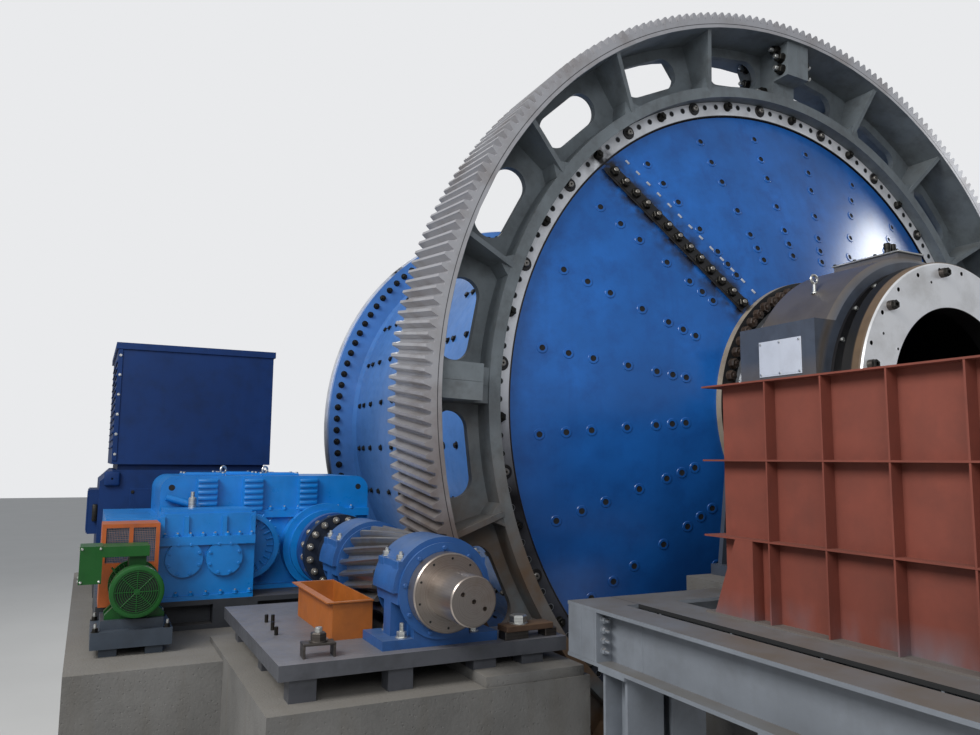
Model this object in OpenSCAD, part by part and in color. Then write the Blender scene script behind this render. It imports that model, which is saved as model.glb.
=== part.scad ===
/* [Mill] */
// Height of the mill axis above the ground
axis_h = 4350; // [3900:10:4800]
// Outer radius of the shell
shell_r = 2700; // [2600:10:2750]
// Wall of the shell
shell_wall = 50; // [30:5:90]
// Distance from the discharge bearing to the front face of the discharge head flange
head_y = 1140; // [1100:10:1200]
// Distance between the two head flanges, over the shell and its flanges
drum_len = 5096; // [4600:4:6000]
// Outer radius of the bolted flanges of shell and heads
flange_r = 3087; // [2900:1:3120]
// Width of the machined ring on the heads
flange_ring_w = 140; // [100:5:160]
// How much smaller the shell flange at the feed end is
feed_flange_less = 25; // [0:5:60]
// Thickness of each flange
flange_t = 75; // [50:5:75]
// Wall of the conical heads
head_wall = 70; // [50:5:100]
// Axial depth of the cone of each head
head_dish = 440; // [380:10:470]
// Direction of the joint between the two halves of a head
head_joint_turn = 133; // [120:1:150]
// Width of the strip over that joint
strip_w = 110; // [80:5:140]
// Height of the strip over that joint
strip_t = 16; // [8:1:30]

/* [Trunnions] */
// Radius of the bolted root flange of the trunnion
root_r = 1190; // [1150:5:1250]
// Thickness of the root flange
root_t = 60; // [40:5:80]
// Radius of the journal
journal_r = 950; // [900:5:960]
// Slope from the journal up to the root flange
trunnion_fillet = 60; // [30:5:100]
// Radius of the bore through the trunnion
bore_r = 739; // [650:1:800]
// Outer radius of the machined end ring
ring_r = 1100; // [1060:5:1140]
// Thickness of the end ring
ring_t = 165; // [100:5:170]
// Distance from the bearing to the outer face of the end ring
ring_y = 646; // [600:1:680]
// Bolt holes in the end ring
ring_holes = 24; // [16:4:32]
// Radius of their bolt circle
ring_bolt_r = 1035; // [1000:5:1045]
// Radius of a bolt hole in the end ring
ring_hole_r = 17; // [10:1:22]
// Depth of a bolt hole in the end ring
ring_hole_depth = 70; // [40:5:90]

/* [Main bearings] */
// Radius of the round cap of a main bearing
cap_shell_r = 1200; // [1160:5:1260]
// Length of a main bearing along the mill
bearing_len = 750; // [680:10:760]
// Half width of the body of a main bearing
bearing_half_w = 1300; // [1250:10:1400]
// Height of the flat sides of the cap above the axis
cap_side_h = 600; // [450:10:650]
// Thickness of each joint flange between body and cap
joint_t = 90; // [60:5:120]
// Width of the inspection pad on the cap
pad_w = 300; // [200:10:400]
// Length of the inspection pad on the cap
pad_len = 620; // [400:10:640]
// Thickness of the sole plate
sole_t = 80; // [60:5:120]
// Outer radius of the seal ring at each end of the bearing
bearing_seal_r = 1085; // [1040:5:1120]
// Thickness of that seal ring
bearing_seal_t = 25; // [10:5:40]

/* [Girth gear] */
// Number of teeth of the gear, a multiple of four
gear_teeth = 268; // [264:4:272]
// Normal module of the teeth
tooth_module = 28; // [27.5:0.1:28.5]
// Helix angle of the teeth
helix = 8; // [6:0.5:9]
// Width of the toothed rim
gear_w = 765; // [700:5:800]
// Distance from the bearing to the front face of the rim
gear_y = 820; // [800:5:850]
// Thickness of the rim below the teeth
rim_t = 80; // [60:5:110]
// Thickness of the web
web_t = 60; // [40:5:70]
// Bays between ribs in one of the four segments
gear_bays = 5; // [4:1:6]
// Thickness of the ribs
rib_t = 42; // [30:2:60]
// Length of a window in the web, along the rim
window_l = 680; // [500:10:700]
// Width of a window in the web
window_w = 290; // [200:10:310]
// Width of the shoulder outside the bolted flange
shoulder_w = 100; // [70:5:120]
// How far the shoulder stands out in front of the bolted flange
shoulder_out = 120; // [80:5:160]
// Thickness of each joint flange between the segments
joint_flange_t = 140; // [100:5:150]
// Turn of the four segment joints from the vertical
joint_turn = -2; // [-4:0.5:4]
// Backlash of the mesh on the pitch circle
backlash = 2.4; // [1.5:0.1:4]

/* [Pinion] */
// Number of teeth of the pinion
pinion_teeth = 20; // [19:1:21]
// Direction from the mill axis to the pinion axis
pinion_turn = 198.5; // [197:0.5:200]
// Overhang of the pinion past the rim on each side
pinion_over = 12; // [5:1:20]
// Radius of the shaft in its bearings
shaft_r = 156; // [140:1:165]
// Radius of the shaft end that stands out in front
shaft_end_r = 150; // [120:1:155]
// Length of that shaft end
shaft_end = 340; // [250:5:340]
// Radius of the seal ring on the shaft
seal_ring_r = 246; // [200:2:290]
// Length of the seal ring
seal_ring_len = 100; // [40:5:100]
// Radius of the coupling flanges
coupling_r = 330; // [280:5:340]

/* [Pinion bearings] */
// Radius of the round cap of a bearing housing
cap_r = 335; // [300:5:345]
// Length of a bearing housing along the shaft
cap_len = 390; // [340:5:400]
// Width of a bearing housing over its feet
foot_w = 790; // [740:5:860]
// Width of a bearing housing above its feet
body_w = 600; // [560:5:620]
// Thickness of the feet
foot_t = 58; // [40:2:80]
// Height of the bolted shoulders of the cap
shoulder_h = 190; // [150:5:220]
// Height of the pinion axis above the base plate
pinion_h = 342; // [336:1:400]
// Thickness of the base plate
plate_t = 90; // [60:5:120]

/* [Foundations] */
// Width of a main bearing pier
pier_w = 3600; // [3200:50:3800]
// Depth of a main bearing pier
pier_d = 860; // [780:10:860]
// Height of the mill axis above the main bearing piers
pier_drop = 1330; // [1300:10:1450]
// Height of the steel packers under the base plate of the pinion
packer_h = 136; // [40:2:200]
// Height of the steel frame under the reducer
reducer_frame_h = 240; // [160:10:320]
// Width of the cut-off corners of the concrete
corner_cut = 25; // [10:5:50]

/* [Discharge casing] */
// Distance from the mill axis to the side walls of the casing
casing_x = 2470; // [2300:10:2500]
// Distance between the upright ribs of the casing
casing_bay = 385; // [360:5:420]
// Number of bays along the casing
casing_bays = 6; // [4:1:7]
// Thickness of the sheets and ribs
sheet_t = 10; // [6:1:16]
// Width of the ribs
flat_w = 80; // [60:5:100]
// Height of the casing from the girders up to the mill axis
casing_h = 1360; // [1240:10:1400]
// Height of the girders
girder_h = 340; // [280:10:400]

/* [Drive] */
// Width of the low front part of the reducer
front_case_w = 780; // [700:10:840]
// Radius of the round covers on that part
cover_r = 150; // [120:5:155]
// Width of the upper case of the reducer
upper_case_w = 1925; // [1900:5:2000]
// Radius of the corners of the upper case
case_corner_r = 130; // [80:5:180]
// Width of the motor cooler
cooler_w = 1630; // [1500:10:1760]
// Length of the motor
motor_len = 1800; // [1600:10:2000]
// Radius of the body of the barring motor
barring_r = 185; // [160:5:200]

/* [Hidden] */
$fn = 96;
eps = 1;
seat_gap = 0.3;
run_gap = 6;

// Places along the mill
pier_h = axis_h - pier_drop;
flange_inner_r = flange_r - flange_ring_w;
drum_end_y = head_y + drum_len;
feed_y = drum_end_y + head_y;
head_root_y = head_y - head_dish;
gear_flange_y = head_y + flange_t;
shell_flange_y = gear_flange_y + web_t + seat_gap;

// Tooth sizes, all in the plane across the axis
trans_module = tooth_module / cos(helix);
gear_r = gear_teeth * trans_module / 2;
pinion_r = pinion_teeth * trans_module / 2;
gear_tip_r = gear_r + tooth_module;
gear_root_r = gear_r - 1.25 * tooth_module;
pinion_tip_r = pinion_r + tooth_module;
pinion_root_r = pinion_r - 1.25 * tooth_module;
press_angle = atan(tan(20) / cos(helix));
centre_dist = gear_r + pinion_r;
// The pinion axis, rounded to a tenth of a millimetre
pinion_x = round(10 * centre_dist * cos(pinion_turn)) / 10;
pinion_z = axis_h + round(10 * centre_dist * sin(pinion_turn)) / 10;
gear_pitch = 360 / gear_teeth;
pinion_pitch = 360 / pinion_teeth;
rim_inner_r = gear_root_r - rim_t;
function twist_of(length, r) = length * tan(helix) / r * 180 / PI;

// Involute angle of a radius on a base circle
function inv_angle(r, base_r) =
    let (c = acos(min(1, base_r / r)))
    tan(c) * 180 / PI - c;
// Half the angle of a tooth at radius r
function half_tooth(r, teeth, pitch_r) =
    let (base_r = pitch_r * cos(press_angle))
    90 / teeth - backlash / 4 / pitch_r * 180 / PI
        + inv_angle(pitch_r, base_r) - inv_angle(max(r, base_r), base_r);
function polar(r, a) = [r * cos(a), r * sin(a)];

// Outline of one tooth, from root to tip and back to root
function tooth_points(centre, teeth, pitch_r, radii) = [
    for (r = radii) polar(r, centre - half_tooth(r, teeth, pitch_r)),
    for (i = [len(radii) - 1:-1:0]) polar(radii[i], centre + half_tooth(radii[i], teeth, pitch_r))
];

// Frames of reference: local +Z runs along the axis, towards the feed end
module on_mill(y) {
    translate([0, y, axis_h]) rotate([-90, 0, 0]) children();
}
module on_pinion(y) {
    translate([pinion_x, y, pinion_z]) rotate([-90, 0, 0]) children();
}
module block(low, high) {
    translate(low) cube(high - low);
}
// Drawn on both sides of the plane x = 0
module both_sides() {
    children();
    mirror([1, 0, 0]) children();
}
// Plate across X: its outline is given as [y, z] points
module plate_yz(x0, x1, points) {
    translate([x0, 0, 0]) rotate([90, 0, 90]) linear_extrude(x1 - x0) polygon(points);
}
// Plate across Y: its outline is given as [x, z] points
module plate_xz(y0, y1, points) {
    translate([0, y1, 0]) rotate([90, 0, 0]) linear_extrude(y1 - y0) polygon(points);
}
// Block of concrete with its four upright corners cut off
module concrete_block(low, high) {
    c = corner_cut;
    translate([0, 0, low[2]]) linear_extrude(high[2] - low[2]) polygon([
        [low[0] + c, low[1]], [high[0] - c, low[1]], [high[0], low[1] + c], [high[0], high[1] - c],
        [high[0] - c, high[1]], [low[0] + c, high[1]], [low[0], high[1] - c], [low[0], low[1] + c]]);
}

// Foundations
module pier_at(y) {
    color("#8d8a85") concrete_block([-pier_w / 2, y - pier_d / 2, 0], [pier_w / 2, y + pier_d / 2, pier_h]);
}
module discharge_pier() {
    pier_at(0);
}
module feed_pier() {
    pier_at(feed_y);
}

// The base plate and its plinth are wide in front of the gear and narrow beside it
plate_top_z = pinion_z - pinion_h;
plinth_h = plate_top_z - plate_t - packer_h;
plate_x0 = pinion_x - 1039;
plate_x1 = pinion_x + 871;
plate_y0 = gear_y - 590;
plate_y1 = gear_y + 1420;
plate_edge = 90;
notch_x = pinion_x + 381;
notch_y = gear_y - 120;
plinth_x0 = plate_x0 - plate_edge;
plinth_x1 = plate_x1 + plate_edge;
plinth_y0 = plate_y0 - 150;
plinth_y1 = plate_y1 + 60;
module beside_gear(x0, x1, y0, y1, z0, z1) {
    translate([0, 0, z0]) linear_extrude(z1 - z0) polygon([
        [x0, y0], [x1, y0], [x1, notch_y], [notch_x, notch_y], [notch_x, y1], [x0, y1]]);
}
module pinion_plinth() {
    color("#8d8a85") beside_gear(plinth_x0, plinth_x1, plinth_y0, plinth_y1, 0, plinth_h);
}
reducer_bottom_z = axis_h - 1660;
drive_plinth_h = reducer_bottom_z - reducer_frame_h;
drive_x0 = pinion_x - 2139;
drive_x1 = pinion_x + 611;
drive_y0 = gear_y + 790;
drive_y1 = gear_y + 4300 + motor_len;
module drive_plinth() {
    color("#8d8a85") {
        block([drive_x0, drive_y0, 0], [plinth_x0 - seat_gap, plinth_y1 + eps, drive_plinth_h]);
        concrete_block([drive_x0, plinth_y1 + seat_gap, 0], [drive_x1, drive_y1, drive_plinth_h]);
    }
}

// Main bearings: a body on a sole plate, and a cap with flat sides and an inspection pad
journal_gap = 5;
joint_half_w = bearing_half_w + 100;
sole_half_w = bearing_half_w + 250;
sole_half_d = pier_d / 2 - 20;
bearing_half_len = bearing_len / 2;
cap_side_x = cap_shell_r + 15;
cap_chamfer = 45;
pocket_depth = 150;
pocket_wall = 130;
gusset_t = 40;
// Half a turn of a ring about the mill axis, with its outline given as [radius, y] points
module half_ring(points, upper) {
    rotate([-90, 0, 0]) rotate([0, 0, upper ? 180 : 0]) rotate_extrude(angle = 180) polygon(points);
}
module bearing_seal(upper, bore) {
    for (s = [-1, 1])
        half_ring([[bore, s * bearing_half_len], [bearing_seal_r, s * bearing_half_len],
            [bearing_seal_r, s * (bearing_half_len + bearing_seal_t)], [bore, s * (bearing_half_len + bearing_seal_t)]], upper);
}
module bearing_base_at(y) {
    bore = journal_r + seat_gap;
    drop = pier_h - axis_h;
    color("#555f66") translate([0, y, axis_h]) {
        difference() {
            union() {
                block([-bearing_half_w, -bearing_half_len, drop + sole_t - eps], [bearing_half_w, bearing_half_len, -seat_gap]);
                block([-joint_half_w, -bearing_half_len, -joint_t], [joint_half_w, bearing_half_len, -seat_gap]);
                block([-sole_half_w, -sole_half_d, drop], [sole_half_w, sole_half_d, drop + sole_t]);
                both_sides()
                    for (s = [-1, 0, 1])
                        plate_xz(s * (bearing_half_len - gusset_t / 2) - gusset_t / 2, s * (bearing_half_len - gusset_t / 2) + gusset_t / 2, [
                            [bearing_half_w - eps, drop + sole_t - eps], [sole_half_w - 40, drop + sole_t - eps],
                            [bearing_half_w + 60, -joint_t + eps], [bearing_half_w - eps, -joint_t + eps]]);
            }
            rotate([-90, 0, 0]) translate([0, 0, -pier_d]) cylinder(r = bore, h = 2 * pier_d);
            // Pockets in the front and the back, below and beside the bore
            both_sides()
                for (s = [-1, 1])
                    difference() {
                        block([bearing_half_w - 800, min(s * (bearing_half_len - pocket_depth), s * (bearing_half_len + eps)), drop + sole_t + 60],
                            [bearing_half_w - 70, max(s * (bearing_half_len - pocket_depth), s * (bearing_half_len + eps)), -joint_t - 60]);
                        rotate([-90, 0, 0]) translate([0, 0, -pier_d]) cylinder(r = journal_r + pocket_wall, h = 2 * pier_d);
                    }
        }
        bearing_seal(false, bore);
    }
}
module bearing_cap_at(y) {
    bore = journal_r + journal_gap;
    color("#555f66") translate([0, y, axis_h]) {
        difference() {
            union() {
                half_ring([[bore, -bearing_half_len], [cap_shell_r - cap_chamfer, -bearing_half_len],
                    [cap_shell_r, -bearing_half_len + cap_chamfer], [cap_shell_r, bearing_half_len - cap_chamfer],
                    [cap_shell_r - cap_chamfer, bearing_half_len], [bore, bearing_half_len]], true);
                both_sides()
                    block([bore - 60, -bearing_half_len, 0], [cap_side_x, bearing_half_len, cap_side_h]);
                both_sides()
                    block([bore, -bearing_half_len, 0], [joint_half_w, bearing_half_len, joint_t]);
                block([-pad_w / 2, -pad_len / 2, cap_shell_r - 60], [pad_w / 2, pad_len / 2, cap_shell_r + 50]);
            }
            rotate([-90, 0, 0]) translate([0, 0, -pier_d]) cylinder(r = bore, h = 2 * pier_d);
        }
        bearing_seal(true, bore);
    }
}
module discharge_bearing_base() {
    bearing_base_at(0);
}
module discharge_bearing_cap() {
    bearing_cap_at(0);
}
module feed_bearing_base() {
    bearing_base_at(feed_y);
}
module feed_bearing_cap() {
    bearing_cap_at(feed_y);
}

// Pinion base plate on steel packers
packer_w = 160;
packer_l = 120;
module pinion_base_plate() {
    color("#5b5f6b") {
        beside_gear(plate_x0, plate_x1, plate_y0, plate_y1, plate_top_z - plate_t, plate_top_z);
        for (x = [plate_x0 + 150, pinion_x - 290, notch_x - 100])
            for (y = [plate_y0 + 100, gear_y + 300, plate_y1 - 200])
                block([x - packer_w / 2, y - packer_l / 2, plinth_h], [x + packer_w / 2, y + packer_l / 2, plate_top_z - plate_t + eps]);
        for (y = [plate_y0 + 100, notch_y - 200])
            block([plate_x1 - 2 * packer_w, y - packer_l / 2, plinth_h], [plate_x1 - packer_w, y + packer_l / 2, plate_top_z - plate_t + eps]);
    }
}

// Pinion bearing housings, split at the shaft
front_cap_y = gear_y - 500;
rear_cap_y = gear_y + gear_w + 500 - cap_len;
boss_out = 20;
boss_in_r = cap_r - 35;
foot_pocket = [110, 130, 210];
module housing_bore(y) {
    on_pinion(y - 100) cylinder(r = shaft_r + seat_gap, h = cap_len + 200);
}
module housing_base_at(y) {
    color("#4f6fae") difference() {
        union() {
            block([pinion_x - foot_w / 2, y, plate_top_z], [pinion_x + foot_w / 2, y + cap_len, plate_top_z + foot_t]);
            block([pinion_x - body_w / 2, y, plate_top_z], [pinion_x + body_w / 2, y + cap_len, pinion_z - seat_gap]);
            intersection() {
                on_pinion(y - boss_out) cylinder(r = boss_in_r, h = cap_len + 2 * boss_out);
                block([pinion_x - cap_r, y - 2 * boss_out, pinion_z - cap_r], [pinion_x + cap_r, y + cap_len + 2 * boss_out, pinion_z - seat_gap]);
            }
        }
        housing_bore(y);
        for (sx = [-1, 1])
            for (sy = [0, 1])
                block([pinion_x + sx * body_w / 2 - foot_pocket[0] * (1 + sx) / 2 - eps * (1 - sx) / 2,
                        y - eps + sy * (cap_len - foot_pocket[1] + eps), plate_top_z + foot_t],
                    [pinion_x + sx * body_w / 2 + foot_pocket[0] * (1 - sx) / 2 + eps * (1 + sx) / 2,
                        y + foot_pocket[1] + sy * (cap_len - foot_pocket[1] + eps), plate_top_z + foot_t + foot_pocket[2]]);
    }
}
module housing_cap_at(y) {
    color("#4f6fae") difference() {
        intersection() {
            union() {
                on_pinion(y) cylinder(r = cap_r, h = cap_len);
                on_pinion(y - boss_out) cylinder(r = boss_in_r, h = cap_len + 2 * boss_out);
                block([pinion_x - body_w / 2, y, pinion_z - cap_r], [pinion_x + body_w / 2, y + cap_len, pinion_z + shoulder_h]);
            }
            block([pinion_x - cap_r, y - 2 * boss_out, pinion_z], [pinion_x + cap_r, y + cap_len + 2 * boss_out, pinion_z + cap_r + eps]);
        }
        housing_bore(y);
    }
}
module front_housing_base() {
    housing_base_at(front_cap_y);
}
module front_housing_cap() {
    housing_cap_at(front_cap_y);
}
module rear_housing_base() {
    housing_base_at(rear_cap_y);
}
module rear_housing_cap() {
    housing_cap_at(rear_cap_y);
}

// Oil tray beside the pinion: an open box with a turned-out lip
tray_wall = 8;
tray_w = 270;
tray_h = 245;
tray_lip = 45;
module pinion_tray() {
    x1 = pinion_x - pinion_tip_r - 15;
    x0 = x1 - tray_w;
    y0 = gear_y - 90;
    y1 = gear_y + gear_w + 80;
    z1 = plate_top_z + tray_h;
    color("#d9682a") difference() {
        union() {
            block([x0, y0, plate_top_z], [x1, y1, z1]);
            block([x0 - tray_lip, y0 - tray_lip / 2, z1 - tray_wall], [x1, y1 + tray_lip / 2, z1]);
        }
        block([x0 + tray_wall, y0 + tray_wall, plate_top_z + tray_wall], [x1 - tray_wall, y1 - tray_wall, z1 + eps]);
    }
}

// Gear reducer on its steel frame
reducer_front_y = gear_y + 2000;
upper_front_y = gear_y + 2450;
reducer_back_y = gear_y + 3500;
case_x0 = pinion_x - 1909;
front_case_x0 = pinion_x - 1499;
front_case_x1 = front_case_x0 + front_case_w;
case_joint_z = axis_h - 1165;
low_lid_z = axis_h - 975;
front_lid_z = axis_h - 940;
upper_case_x0 = pinion_x - 1477;
upper_case_x1 = upper_case_x0 + upper_case_w;
upper_case_z = axis_h - 630;
case_flange_t = 36;
case_flange_out = 45;
lid_edge = 30;
cover_z = axis_h - 1315;
cover_gap = 25;
cover_t = 40;
boss_y = gear_y + 2320;
boss_r = 400;
frame_over = 30;
upper_rib_d = 60;
low_part_y1 = upper_front_y - upper_rib_d - seat_gap;
module reducer_frame() {
    color("#3d424b") difference() {
        block([case_x0 - 40, reducer_front_y - frame_over, drive_plinth_h],
            [upper_case_x1 + 70, reducer_back_y + frame_over, reducer_bottom_z]);
        for (x = [case_x0 + 60, front_case_x1 + 40])
            block([x, reducer_front_y - frame_over - eps, drive_plinth_h + 40], [x + 800, reducer_front_y + 120, reducer_bottom_z - 40]);
    }
}
module reducer_lower_case() {
    color("#1f7fd8") {
        // Body, foot flange and the flange at the joint of the case
        block([case_x0, reducer_front_y + 60, reducer_bottom_z], [front_case_x1 - 1, reducer_back_y, low_lid_z]);
        block([front_case_x0, reducer_front_y, reducer_bottom_z], [front_case_x1, low_part_y1, front_lid_z]);
        block([front_case_x0 - 20, reducer_front_y - 20, reducer_bottom_z], [front_case_x1 - 2, reducer_front_y + 200, reducer_bottom_z + case_flange_t]);
        block([case_x0, reducer_front_y + 20, reducer_bottom_z], [front_case_x0, reducer_front_y + 200, reducer_bottom_z + case_flange_t - 1]);
        block([front_case_x0 - 10, reducer_front_y - case_flange_out, case_joint_z - case_flange_t],
            [front_case_x1 - 3, reducer_front_y + 200, case_joint_z + case_flange_t]);
        // Lid of the low part
        block([front_case_x0 + lid_edge, reducer_front_y + lid_edge, front_lid_z - eps],
            [front_case_x1 - lid_edge, low_part_y1 - lid_edge, front_lid_z + case_flange_t]);
        // Bearing covers, and the ribs between and beside them
        for (i = [0, 1])
            translate([front_case_x0 + 200 + i * (2 * cover_r + cover_gap), reducer_front_y + eps, cover_z]) rotate([90, 0, 0])
                cylinder(r = cover_r, h = cover_t);
        for (x = [front_case_x0, front_case_x0 + 190, front_case_x0 + 500, front_case_x1 - 40])
            block([x, reducer_front_y - 25, case_joint_z], [x + 36, reducer_front_y + eps, front_lid_z - 20]);
    }
}
module reducer_upper_case() {
    r = case_corner_r;
    color("#1f7fd8") {
        difference() {
            union() {
                // Upper case with two round corners
                translate([0, reducer_back_y, 0]) rotate([90, 0, 0]) linear_extrude(reducer_back_y - upper_front_y) {
                    translate([upper_case_x0, low_lid_z + seat_gap]) square([upper_case_w, upper_case_z - r - low_lid_z - seat_gap]);
                    translate([upper_case_x0 + r, low_lid_z + seat_gap]) square([upper_case_w - 2 * r, upper_case_z - low_lid_z - seat_gap]);
                    for (x = [upper_case_x0 + r, upper_case_x1 - r])
                        translate([x, upper_case_z - r]) circle(r = r);
                }
                block([front_case_x1 + seat_gap, upper_front_y, reducer_bottom_z], [upper_case_x1, reducer_back_y, low_lid_z + 2 * eps]);
                // Deep ribs between the panels
                for (x = [upper_case_x0 + 304, upper_case_x0 + 712, upper_case_x0 + 1224])
                    block([x, upper_front_y - upper_rib_d, low_lid_z + 5], [x + 180, upper_front_y + eps, upper_case_z - 20]);
                block([front_case_x1 + seat_gap, upper_front_y - case_flange_out, case_joint_z + 150],
                    [upper_case_x1, upper_front_y + eps, case_joint_z + 150 + 2 * case_flange_t]);
                block([front_case_x1 + seat_gap, upper_front_y - 90, reducer_bottom_z], [upper_case_x1, upper_front_y + eps, reducer_bottom_z + case_flange_t]);
                // Round boss of the output shaft
                on_pinion(boss_y) cylinder(r = boss_r, h = upper_front_y - boss_y + eps);
                on_pinion(boss_y - 40) cylinder(r = boss_r - 60, h = 50);
            }
            block([pinion_x - 2 * boss_r, boss_y - 100, reducer_bottom_z - boss_r], [pinion_x + 2 * boss_r, upper_front_y + 2, reducer_bottom_z]);
        }
    }
}

// Main motor: body, cooler on top, and the guard over its coupling
motor_y0 = gear_y + 4000;
motor_y1 = motor_y0 + motor_len;
motor_x = pinion_x - 1034;
motor_half_w = cooler_w / 2 + 100;
motor_foot_z = axis_h - 1750;
motor_top_z = axis_h - 600;
cooler_top_z = axis_h + 745;
module motor_frame() {
    color("#3d424b") {
        block([motor_x - motor_half_w, motor_y0, drive_plinth_h], [motor_x + motor_half_w, motor_y1, motor_foot_z]);
        plate_xz(reducer_back_y + frame_over + seat_gap, motor_y0 - seat_gap, [
            [motor_x - 300, drive_plinth_h], [motor_x + 300, drive_plinth_h], [motor_x + 300, motor_foot_z + 500],
            [motor_x + 200, motor_foot_z + 620], [motor_x - 200, motor_foot_z + 620], [motor_x - 300, motor_foot_z + 500]]);
        block([motor_x - 300, motor_y0 - eps, drive_plinth_h], [motor_x + 300, motor_y0 + eps, motor_foot_z]);
    }
}
module motor_body() {
    color("#1f3550") {
        // Body with sloping shoulders
        plate_xz(motor_y0, motor_y1, [
            [motor_x - motor_half_w, motor_foot_z + seat_gap], [motor_x + motor_half_w, motor_foot_z + seat_gap],
            [motor_x + motor_half_w, motor_top_z - 120], [motor_x + motor_half_w - 120, motor_top_z],
            [motor_x - motor_half_w + 120, motor_top_z], [motor_x - motor_half_w, motor_top_z - 120]]);
        // Terminal box on the outer side
        block([motor_x - motor_half_w - 90, motor_y0 + 200, motor_foot_z + 480], [motor_x - motor_half_w + eps, motor_y0 + 900, motor_foot_z + 940]);
        // Seat of the cooler
        block([motor_x - cooler_w / 2 + 60, motor_y0 + 60, motor_top_z - eps], [motor_x + cooler_w / 2 - 60, motor_y1 - 60, motor_top_z + 60]);
    }
}
module motor_cooler() {
    color("#1f3550") {
        block([motor_x - cooler_w / 2, motor_y0, motor_top_z + 60 + seat_gap], [motor_x + cooler_w / 2, motor_y1, cooler_top_z]);
        block([motor_x - cooler_w / 2 - 20, motor_y0 - 20, cooler_top_z - 60], [motor_x + cooler_w / 2 + 20, motor_y1 + 20, cooler_top_z + 8]);
    }
}

// Barring drive in front of the reducer
barring_x = pinion_x - 1694;
barring_z = axis_h - 1444;
barring_y0 = gear_y + 1200;
barring_y1 = gear_y + 1660;
barring_foot = 210;
cowl_len = 110;
module barring_motor() {
    color("#2e7d3c") {
        translate([barring_x, barring_y0, barring_z]) rotate([-90, 0, 0]) {
            cylinder(r = barring_r, h = cowl_len);
            cylinder(r = barring_r - 35, h = barring_y1 - barring_y0);
            translate([0, 0, barring_y1 - barring_y0 - 40]) cylinder(r = barring_r, h = 40);
        }
        for (y = [barring_y0 + 150, barring_y1 - 130])
            plate_xz(y, y + 60, [
                [barring_x - barring_r - 20, barring_z - barring_foot], [barring_x + barring_r + 20, barring_z - barring_foot],
                [barring_x + barring_r + 20, barring_z - barring_foot + 30], [barring_x + 90, barring_z - 60],
                [barring_x - 90, barring_z - 60], [barring_x - barring_r - 20, barring_z - barring_foot + 30]]);
        // Terminal box beside the body, with its lid over the body
        block([barring_x - 390, barring_y0 + 60, barring_z + 62], [barring_x - 240, barring_y0 + 330, barring_z + 330]);
        block([barring_x - 260, barring_y0 + 60, barring_z + 250], [barring_x + 75, barring_y0 + 330, barring_z + 325]);
        block([barring_x - 60, barring_y0 + 120, barring_z + 100], [barring_x + 60, barring_y0 + 300, barring_z + 251]);
    }
}
module barring_base() {
    color("#5b5f6b") {
        block([barring_x - 230, barring_y0 + 100, axis_h - 1720 - eps], [barring_x + 200, barring_y1 + 30, barring_z - barring_foot - seat_gap]);
        block([barring_x - 290, barring_y0 + 20, axis_h - 1840], [barring_x + 260, barring_y1 + 120, axis_h - 1720]);
        for (x = [barring_x - 230, barring_x + 80])
            for (y = [barring_y0 + 60, barring_y1 - 40])
                block([x, y, drive_plinth_h], [x + 120, y + 120, axis_h - 1839]);
    }
}
// Guard over the clutch between barring drive and reducer: a box with two windows in front
guard_wall = 6;
module coupling_guard() {
    x0 = barring_x - 245;
    x1 = front_case_x0 - 20 - seat_gap;
    y0 = barring_y1 + 45;
    y1 = reducer_front_y + 60 - seat_gap;
    z0 = reducer_bottom_z + case_flange_t + seat_gap;
    z1 = axis_h - 990;
    color("#d9682a") difference() {
        block([x0, y0, z0], [x1, y1, z1]);
        block([x0 + guard_wall, y0 + guard_wall, z0 - eps], [x1 - guard_wall, y1 + eps, z1 - guard_wall]);
        for (x = [x0 + 30, (x0 + x1) / 2 + 15])
            block([x, y0 - eps, z1 - 300], [x + (x1 - x0) / 2 - 45, y0 + guard_wall + eps, z1 - 30]);
    }
}

// Discharge casing: a box of ribbed sheet, split at the mill axis
casing_y1 = gear_y - 1570;
first_rib = 416;
casing_y0 = casing_y1 - first_rib - casing_bay * (casing_bays - 1);
rib_rows = 3;
corner_out = 100;
girder_top_z = axis_h - casing_h;
row_step = (casing_h - sheet_t) / rib_rows;
throat_r = ring_r + 60;
module casing_left() {
    color("#7c423c") {
        block([-casing_x, casing_y0, girder_top_z], [-casing_x + sheet_t, casing_y1, axis_h]);
        for (i = [0:rib_rows]) {
            z = girder_top_z + i * row_step;
            block([-casing_x - flat_w, casing_y0, z], [-casing_x + eps, casing_y1, z + sheet_t]);
            block([-casing_x - flat_w, casing_y1 - eps, z], [-casing_x + sheet_t, casing_y1 + corner_out, z + sheet_t]);
        }
        for (i = [0:casing_bays - 1])
            block([-casing_x - flat_w + 2, casing_y1 - first_rib - i * casing_bay, girder_top_z],
                [-casing_x + eps, casing_y1 - first_rib - i * casing_bay + sheet_t, axis_h]);
        // Foot plate at the corner, and the strip that stiffens it
        plate_yz(-casing_x - flat_w + 1, -casing_x - flat_w + 1 + sheet_t, [
            [casing_y1 - 280, girder_top_z], [casing_y1 + 26, girder_top_z],
            [casing_y1 - 155, girder_top_z + row_step + 1], [casing_y1 - 280, girder_top_z + row_step + 1]]);
        block([-casing_x - flat_w + 1, casing_y1 - 290, girder_top_z], [-casing_x + eps, casing_y1 - 280 + eps, girder_top_z + row_step + 1]);
    }
}
module casing_right() {
    mirror([1, 0, 0]) casing_left();
}
wall_half = casing_x - sheet_t - seat_gap;
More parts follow.
